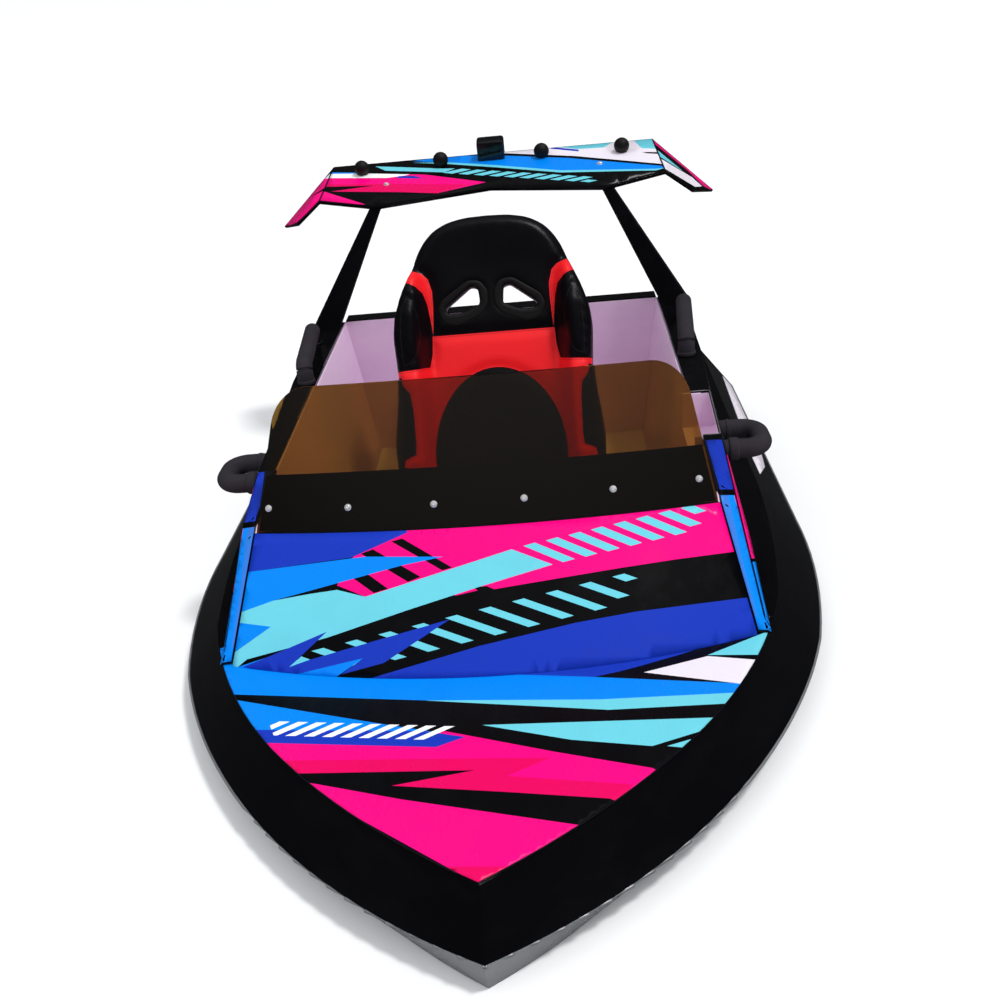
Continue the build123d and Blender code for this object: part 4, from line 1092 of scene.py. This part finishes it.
def inside(spot, loop):
    """Whether a flat point lies within an outline."""
    crossings = 0
    for (ax, ay), (bx, by) in zip(loop, loop[1:] + loop[:1]):
        if (ay > spot.y) != (by > spot.y) and spot.x < ax + (spot.y - ay) / (by - ay) * (bx - ax):
            crossings += 1
    return crossings % 2 == 1


def hide_grain(tree, where, scale):
    """Leatherette: small pebbles between fine creases, over broad soft shading."""
    pebbles = node(tree, "ShaderNodeTexVoronoi", {"feature": "F1", "Randomness": 0.9}, Vector=where,
                   Scale=scaled(tree, scale, 420))
    creases = node(tree, "ShaderNodeTexNoise", {"Detail": 6, "Roughness": 0.6}, Vector=where,
                   Scale=scaled(tree, scale, 60))
    both = node(tree, "ShaderNodeMath", {"operation": "ADD"})
    tree.links.new(pebbles.outputs["Distance"], both.inputs[0])
    tree.links.new(creases.outputs["Fac"], both.inputs[1])
    worn = node(tree, "ShaderNodeTexNoise", {"Detail": 3}, Vector=where, Scale=scaled(tree, scale, 9))
    return worn.outputs["Fac"], both.outputs[0]


grain_group = effect("hide_grain", hide_grain)
black_hide = finish("black_hide", srgb(5, 4, 8), 0.38, grain_group, worn=srgb(10, 9, 14), bump=0.22,
                    spread=0.16, Specular_IOR_Level=0.2)
red_hide = finish("red_hide", srgb(250, 28, 36), 0.45, grain_group, worn=srgb(238, 22, 30), bump=0.2,
                  spread=0.14, Specular_IOR_Level=0.25)
moulded_plastic = finish("moulded_plastic", srgb(10, 9, 10), 0.62, foam_group, scale=0.8,
                         worn=srgb(16, 15, 15), bump=0.12, Specular_IOR_Level=0.3)
HIDES = {"black": black_hide, "red": red_hide}

# Port half of the back's outline, foot to top: hip pads, waist, shoulder pads and head
half_back = [(150, 0), (215, 4), (250, 28), (269, 80), (277, 130), (279, 190), (272, 250), (264, 305),
             (260, 365), (264, 430), (267, 478), (261, 530), (246, 580), (231, 618), (213, 660), (196, 706),
             (175, 740), (149, 767), (110, 787), (60, 797), (0, SEAT_TOP)]
back_loop = softened(anticlockwise(both_ways(half_back)), 9, 3)
ARCH_HALF, ARCH_RISE, ARCH_FOOT = 178, 238, 150
arch = [(ARCH_HALF * math.cos(turn), ARCH_FOOT + ARCH_RISE * math.sin(turn))
        for turn in np.linspace(0, math.pi, 33)]
arch = [(ARCH_HALF, 0), *arch, (-ARCH_HALF, 0)]
PORT_ZONES = [
    ("red", [(0, 483), (166, 483), (169, 436), (177, 399), (204, 391), (290, 385), (290, 374), (250, 372),
             (244, 350), (226, 326), (221, 280), (220, 190), (223, 163), (252, 150), (256, 132), (170, 114),
             (0, 114)]),
    ("red", [(224, 672), (205, 660), (184, 653), (168, 637), (159, 603), (159, 560), (163, 495), (164, 483),
             (168, 525), (173, 566), (182, 597), (198, 613), (219, 624), (244, 629)]),
    ("black", [(222, 588), (207, 574), (197, 550), (192, 525), (190, 490), (194, 455), (203, 425), (218, 406),
               (243, 396), (246, 430), (248, 474), (245, 518), (240, 555)]),
]
zones = []
for paint, outline in PORT_ZONES:
    mirrored = [(-x, up) for x, up in outline]
    if abs(outline[0][0]) < 0.01:
        zones.append((paint, outline + list(reversed(mirrored))[1:-1]))
    else:
        zones += [(paint, outline), (paint, mirrored)]
zones.insert(1, ("black", arch))
HARNESS_SLOT = [(28, 558), (32, 606), (54, 612), (128, 556), (126, 538), (76, 538)]
BEZEL_EDGE = [(7, 556), (7, 596), (27, 623), (60, 627), (137, 577), (148, 547), (134, 514), (98, 502),
              (27, 530)]
slot_loops = [softened(anticlockwise([(side * x, up) for x, up in HARNESS_SLOT]), 5, 2) for side in (1, -1)]
RIM_RADIUS = 26
PUFF = 7


def pad_relief(spots):
    """Height of the hollow and its side pads, before any stuffing."""
    across, up = np.abs(spots[:, 0]), spots[:, 1]
    hollow_half = np.interp(up, [-60, 330, 480, 590, 640, 700, 900], [164, 163, 166, 160, 170, 215, 260])
    height = PAD_PROUD * np.interp(up, [0, 80, 540, 600, 660, 720], [0.7, 1, 1, 0.86, 0.45, 0])
    climb = np.clip((across - hollow_half) / 48, 0, 1)
    dish = 9 * np.exp(-((across / 120) ** 2) - ((up - 660) / 80) ** 2)
    return height * climb**2 * (3 - 2 * climb) - dish


def seat_front(spots, rim_away, seam_away):
    """Stuffed front of the back: it swells between its seams and rolls over at the rim."""
    slot_away = reach(spots, slot_loops)
    stuffed = PUFF * (1 - np.exp(-(np.minimum(seam_away, slot_away) / 16) ** 2))
    folds = np.sin(spots[:, 1] / 5.3 + spots[:, 0] / 9) * np.exp(-seam_away / 9)
    pulls = 0.9 * folds * (np.abs(spots[:, 0]) > 165)
    rolled_over = rounded_fall(reach(spots, [back_loop]), RIM_RADIUS)
    return pad_relief(spots) + stuffed + pulls - rolled_over - PUFF * np.exp(-(slot_away / 9) ** 2)


def seat_rear(spots, rim_away, seam_away):
    """Plain rear of the back, gently crowned."""
    crown = 6 * (1 - np.exp(-(rim_away / 60) ** 2))
    return -(BACK_DEPTH - 6) - crown + rounded_fall(rim_away, 22)


seat_back = moulded("seat_back_pad", back_loop, zones, slot_loops, seat_front, seat_rear, 9, (3, 8, 15, 24),
                    "black", HIDES, walls=6, bulge=3)
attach(seat_back, "hull")
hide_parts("seat_back")

# The harness slots' bezels are moulded plastic frames that clip through the back
for side, slot_loop, side_name in zip((1, -1), slot_loops, ("port", "starboard")):
    outer = softened(anticlockwise([(side * x, up) for x, up in BEZEL_EDGE]), 5, 4)
    opening = softened(drawn_in(simplified(slot_loop, 0.01), 2), 5, 2)
    bezel = moulded(
        f"harness_bezel_{side_name}", outer, [], [opening],
        lambda spots, rim, seam: 7 - rounded_fall(rim, 5), lambda spots, rim, seam: -3 + 0 * rim,
        6, (2, 5), "plastic", {"plastic": moulded_plastic}, walls=2,
    )
    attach(bezel, "hull")


# The seat's seams are top-stitched: short stitches of dark thread, pressed into the cover in a row just
# inside the edge of each sewn panel.
def joined(name, meshes):
    """One mesh from several."""
    whole = bmesh.new()
    for mesh in meshes:
        whole.from_mesh(mesh)
    made = bpy.data.meshes.new(name)
    whole.to_mesh(made)
    whole.free()
    made.shade_smooth()
    return made


STITCHED_HALF = 256
STITCHED_FACING = 0.25
STITCH_PROUD, STITCH_SUNK = 0.15, 0.25


def stitched(name, outline, skin, pitch=7, length=4.4, thickness=0.55):
    """Row of stitches along an outline on the seat's face, in millimetres."""
    stitches = []
    row = evened([Vector((*p, 0)) for p in outline + outline[:1]], pitch)
    for here, there in zip(row, row[1:]):
        ends = []
        for share in (0, 0.5, 1):
            spot = here + (there - here) * share * length / pitch
            start = seat_place(spot.x, spot.y, 150)
            hit, normal, _, _ = skin.ray_cast(start, -SEAT_OUT)
            if hit is None or abs(spot.x) > STITCHED_HALF or normal.dot(SEAT_OUT) < STITCHED_FACING:
                break
            ends.append(hit + normal * MM * (STITCH_PROUD if share == 0.5 else -STITCH_SUNK))
        if len(ends) == 3:
            stitches.append(tube("stitch", ends, thickness * MM, sides=6))
    return joined(name, stitches)


thread = finish("dark_thread", srgb(46, 44, 50), 0.6, mottled_group, scale=8, worn=srgb(36, 34, 40), bump=0.1)
back_skin = skin_of(seat_back)
for number, (_, outline) in enumerate(zones):
    row = drawn_in(anticlockwise(outline), 4)
    rows = object_of(f"seat_stitches_{number}", stitched("stitches", [tuple(p) for p in row], back_skin),
                     thread)
    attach(rows, "hull")


# The cushion and its two side bolsters are foam in the same leatherette, blown up as cloth
# from their plain solids so that they crown between their edges.
def stuffed(name, source, cover, cap, share=0.965, voxel=6 * MM):
    """Padded piece in the place of a plain solid."""
    mesh = CAD[source].data.copy()
    low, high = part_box(source)
    middle = (Vector(low) + Vector(high)) / 2
    mesh.transform(Matrix.Translation(middle) @ Matrix.Scale(share, 4) @ Matrix.Translation(-middle))
    mesh.materials.clear()
    pad = object_of(name, mesh, cover)
    grid = pad.modifiers.new("even_skin", "REMESH")
    grid.mode = "VOXEL"
    grid.voxel_size = voxel
    settle(pad)
    before = np.array([v.co[:] for v in pad.data.vertices])
    cloth = pad.modifiers.new("swelling", "CLOTH")
    cloth.settings.use_pressure = True
    cloth.settings.uniform_pressure_force = 4
    cloth.settings.effector_weights.gravity = 0
    for moment in range(1, 21):
        bpy.context.scene.frame_set(moment)
    settle(pad)
    bpy.context.scene.frame_set(1)
    after = np.array([v.co[:] for v in pad.data.vertices])
    moved = after - before
    far = np.maximum(np.linalg.norm(moved, axis=1, keepdims=True), 1e-9)
    after = before + moved * np.minimum(1, cap / far)
    pad.data.vertices.foreach_set("co", after.ravel())
    pad.data.shade_smooth()
    finer = pad.modifiers.new("finer_skin", "SUBSURF")
    finer.levels = finer.render_levels = 1
    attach(pad, "hull")
    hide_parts(source)
    return pad


def settle(thing):
    """Apply a piece's modifiers to its mesh."""
    bpy.context.view_layer.update()
    ready = thing.evaluated_get(bpy.context.evaluated_depsgraph_get())
    mesh = bpy.data.meshes.new_from_object(ready)
    thing.modifiers.clear()
    thing.data = mesh


cushion = stuffed("seat_cushion_pad", "seat_cushion", black_hide, 9 * MM)
for side_name in ("port", "starboard"):
    stuffed(f"seat_bolster_pad_{side_name}", f"seat_bolster_{side_name}", red_hide, 7 * MM)

# Red piping is sewn round the cushion's top panel
cushion_low, cushion_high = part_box("seat_cushion")
PIPING_INSET = 26 * MM
left, right = cushion_low.x + PIPING_INSET, cushion_high.x - PIPING_INSET
front, rear = cushion_low.y + PIPING_INSET, cushion_high.y - PIPING_INSET
piping_loop = softened([(left / MM, front / MM), (right / MM, front / MM), (right / MM, rear / MM),
                        (left / MM, rear / MM)], 8, 6)
cushion_skin = skin_of(cushion)
piping_path = []
for x, y in piping_loop + piping_loop[:1]:
    hit, _, _, _ = cushion_skin.ray_cast(Vector((x * MM, y * MM, 0.5)), Vector((0, 0, -1)))
    if hit is not None:
        piping_path.append(hit + Vector((0, 0, 0.0012)))
piping = object_of("cushion_piping", tube("piping", piping_path, 2.2 * MM, sides=8), red_hide)
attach(piping, "hull")


# Below the cushion is a black moulded pan on two steel rails, and in the footwell a folded
# steel pedal. Steel is brushed, with the scratches running along it.
steel = finish("brushed_steel", srgb(184, 184, 188), 0.34, rolled_group, scale=2.2, worn=srgb(140, 140, 146),
               bump=0.05, spread=0.2, Metallic=1.0)
dress(moulded_plastic, "seat_pan", edge=2.5)
dress(steel, "seat_rails", "throttle_pedal", "impeller", "drive_shaft", "steering_shaft", edge=0.8)

# The dash is a black plate under the screen's flange. The wheel on it has a rim wrapped in
# leather, sewn along the inside, and a turned aluminium boss held by six screws.
dress(moulded_plastic, "dash", edge=1.5)
dress(black_hide, "steering_wheel", edge=2.0)
WHEEL_CENTRE = Vector((0, -0.190, 0.300))
COLUMN_TILT = math.radians(25)
WHEEL_RIM = 0.117
WHEEL_TUBE = 0.013
wheel_way = Vector((0, math.cos(COLUMN_TILT), math.sin(COLUMN_TILT)))
wheel_up = Vector((0, -math.sin(COLUMN_TILT), math.cos(COLUMN_TILT)))


def on_wheel(radius, turn, out):
    """Point in the wheel's own round, in metres and radians."""
    flat = radius * (math.cos(turn) * Vector((1, 0, 0)) + math.sin(turn) * wheel_up)
    return WHEEL_CENTRE + flat + out * wheel_way


thread_turns = [2 * math.pi * k / 120 for k in range(120)]
wheel_seam = []
for turn in thread_turns:
    lead = [on_wheel(WHEEL_RIM - (WHEEL_TUBE + 0.0002) * math.cos(lean), turn + 0.012 * lean,
                     0.0132 * math.sin(lean))
            for lean in (-0.3, 0, 0.3)]
    wheel_seam.append(tube("stitch", lead, 0.6 * MM, sides=6))
seam_ring = object_of("wheel_stitches", joined("wheel_stitches", wheel_seam), thread)
boss_profile = [(0, 4), (14, 4), (18, 3.4), (19, 2), (21, 2), (22, 3), (28, 2.6), (30.5, 1), (30.5, -1),
                (0, -1)]
boss_shape = turned("boss", [(radius * MM, height * MM) for radius, height in boss_profile], sides=40)
boss = object_of("wheel_boss", set_on(boss_shape, WHEEL_CENTRE - 2.2 * MM * wheel_way, wheel_way),
                 bare_aluminium)
for piece in (seam_ring, boss):
    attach(piece, "steering")
for number in range(6):
    bolt_at(f"boss_screw_{number}", on_wheel(0.0245, math.pi / 3 * number, 0.0), wheel_way, "steering",
            size=0.5)


# Hand grips: thick closed-cell foam slid over bent black tube. A short collar of the same
# foam ends each sleeve where it meets the plate or the tube's bend.
grip_foam = finish("grip_foam", srgb(38, 35, 41), 0.8, foam_group, worn=srgb(50, 46, 53), bump=0.4,
                   Specular_IOR_Level=0.2)
dress(grip_foam, "fore_grip_port", "fore_grip_starboard", edge=4)


def collar(name, start, end, radius, cover):
    """Short sleeve with rolled ends, between two points."""
    line = evened([start, end], (Vector(end) - Vector(start)).length / 9)
    shape = tube(name, line, radius, sides=32,
                 swell=lambda share: 0.93 + 0.07 * math.sin(math.pi * share) ** 0.35)
    made = object_of(name, shape, cover)
    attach(made, "hull")


def rolled_ends(share):
    """Radius of a foam sleeve along its length, rolled in at both ends."""
    return min(1, *(0.80 + 0.20 * math.sqrt(min(1, near / 0.02)) for near in (share, 1 - share)))


def bent(points, radius, count=7):
    """Line through the points with its corners turned on a radius."""
    spots = [Vector(p) for p in points]
    made = [spots[0]]
    for before, here, after in zip(spots, spots[1:], spots[2:]):
        start = here + (before - here).normalized() * radius
        end = here + (after - here).normalized() * radius
        made += [start.lerp(here, k / count).lerp(here.lerp(end, k / count), k / count)
                 for k in range(count + 1)]
    return made + [spots[-1]]


GRIP_HEIGHT = 0.385
FORE_FRONT_Y, FORE_REAR_Y = -0.150, -0.035
REAR_FRONT = (0.507, 0.372)
REAR_BACK = (0.540, 0.722)
REAR_SLEEVE_END = (0.537, 0.690)
grip_steel = finish("grip_steel", BLACK, 0.3, sprayed_group, worn=srgb(20, 20, 22), bump=0.05,
                    Specular_IOR_Level=0.3)
GRIP_RISE = 0.485
for side, side_name in ((1, "port"), (-1, "starboard")):
    collar(f"fore_collar_{side_name}", (side * 0.538, FORE_FRONT_Y, GRIP_HEIGHT),
           (side * 0.560, FORE_FRONT_Y, GRIP_HEIGHT), 0.0262, grip_foam)
    collar(f"fore_rear_collar_{side_name}", (side * 0.547, FORE_REAR_Y, GRIP_HEIGHT),
           (side * 0.558, FORE_REAR_Y, GRIP_HEIGHT), 0.0238, grip_foam)
    (front_x, front_y), (back_x, back_y) = REAR_FRONT, REAR_BACK
    rail = bent([(side * front_x, front_y, CREASE_HEIGHT), (side * front_x, front_y, GRIP_RISE),
                 (side * back_x, back_y, GRIP_RISE), (side * back_x, back_y, CREASE_HEIGHT)], 0.025)
    rail_shape = tube("rail", evened(rail, 0.006), 12 * MM, sides=24)
    rail_tube = object_of(f"rear_grip_rail_{side_name}", rail_shape, grip_steel)
    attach(rail_tube, "hull")
    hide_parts(f"rear_grip_{side_name}")
    end_x, end_y = REAR_SLEEVE_END
    sleeve = evened(bent([(side * front_x, front_y, CAP_TOP + 0.003), (side * front_x, front_y, GRIP_RISE),
                          (side * end_x, end_y, GRIP_RISE)], 0.032), 0.004)
    sleeve_shape = tube("sleeve", sleeve, 22 * MM, sides=40, swell=rolled_ends)
    foam = object_of(f"rear_grip_foam_{side_name}", sleeve_shape, grip_foam)
    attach(foam, "hull")
    collar(f"rear_collar_{side_name}", (side * front_x, front_y, CAP_TOP + 0.001),
           (side * front_x, front_y, CAP_TOP + 0.012), 0.0245, grip_foam)
    for x, y in (REAR_FRONT, REAR_BACK):
        foot = turned("foot", [(0, 0.005), (0.013, 0.005), (0.0155, 0.0045), (0.0215, 0.0035),
                               (0.022, 0.0025), (0.022, 0), (0, 0)], sides=32)
        flange = object_of(f"rear_grip_foot_{side_name}_{int(1000 * y)}",
                           set_on(foot, (side * x, y, CAP_TOP), (0, 0, 1)), grip_steel)
        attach(flange, "hull")


# The wing carries a black lamp box and four soft black knobs, and is bolted down through its
# top over each strut.
lamp_black = finish("lamp_black", srgb(9, 9, 11), 0.18, sprayed_group, worn=srgb(20, 20, 22), bump=0.04,
                    Specular_IOR_Level=0.5)
dress(lamp_black, "stern_lamp", edge=1)
dress(moulded_plastic, "wing_knobs", edge=1)
WING_BOLTS_PX = ((386.4, 184.6), (599.7, 163.5))
wing_skin = skin_of(CAD["wing"])
for number, spot in enumerate(WING_BOLTS_PX):
    hit, normal, _, _ = wing_skin.ray_cast(*photo_ray(spot))
    bolt_at(f"wing_bolt_{number}", hit + FILM_THICKNESS * normal, normal, "hull", size=1.3)


# The jet drive: a cast pump housing with its stator on the transom, a cast steering nozzle
# and welded tow eyes. The engine is a plain cast block, closed in by its lilac box.
def cast(tree, where, scale):
    """Sand-cast skin: lumps and pits with darker dirt in them."""
    lumps = node(tree, "ShaderNodeTexNoise", {"Detail": 8, "Roughness": 0.7}, Vector=where,
                 Scale=scaled(tree, scale, 160))
    dirt = node(tree, "ShaderNodeTexNoise", {"Detail": 4}, Vector=where, Scale=scaled(tree, scale, 22))
    return dirt.outputs["Fac"], lumps.outputs["Fac"]


cast_group = effect("cast_skin", cast)
cast_aluminium = finish("cast_aluminium", srgb(170, 172, 175), 0.5, cast_group, worn=srgb(112, 114, 118),
                        bump=0.35, spread=0.25, Metallic=1.0)
engine_paint = finish("engine_paint", srgb(66, 68, 72), 0.5, cast_group, worn=srgb(48, 50, 54), bump=0.3,
                      spread=0.2)
dress(cast_aluminium, "pump_housing", "steering_nozzle", "engine_bearers", "tow_eyes", edge=1.5)
dress(engine_paint, "engine", edge=6)
PUMP_AXIS = Vector((0, 0, -0.070))
FLANGE_BOLT_RING = 0.080
flange_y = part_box("pump_housing")[0].y
for number in range(8):
    turn = math.pi / 4 * (number + 0.5)
    place = PUMP_AXIS + Vector((FLANGE_BOLT_RING * math.cos(turn), flange_y + 0.008,
                                FLANGE_BOLT_RING * math.sin(turn)))
    bolt_at(f"pump_bolt_{number}", place, (0, 1, 0), "hull", size=0.8)
TOW_EYE_X, TOW_EYE_Z = 0.420, 0.110
TOW_BOLTS = ((-0.017, -0.022), (0.017, -0.022), (-0.017, 0.022), (0.017, 0.022))
stern_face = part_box("transom")[1].y
for side, side_name in ((1, "port"), (-1, "starboard")):
    for number, (across, rise) in enumerate(TOW_BOLTS):
        place = Vector((side * TOW_EYE_X + across, stern_face + 0.005, TOW_EYE_Z + rise))
        bolt_at(f"tow_eye_bolt_{side_name}_{number}", place, (0, 1, 0), "hull", size=0.7)
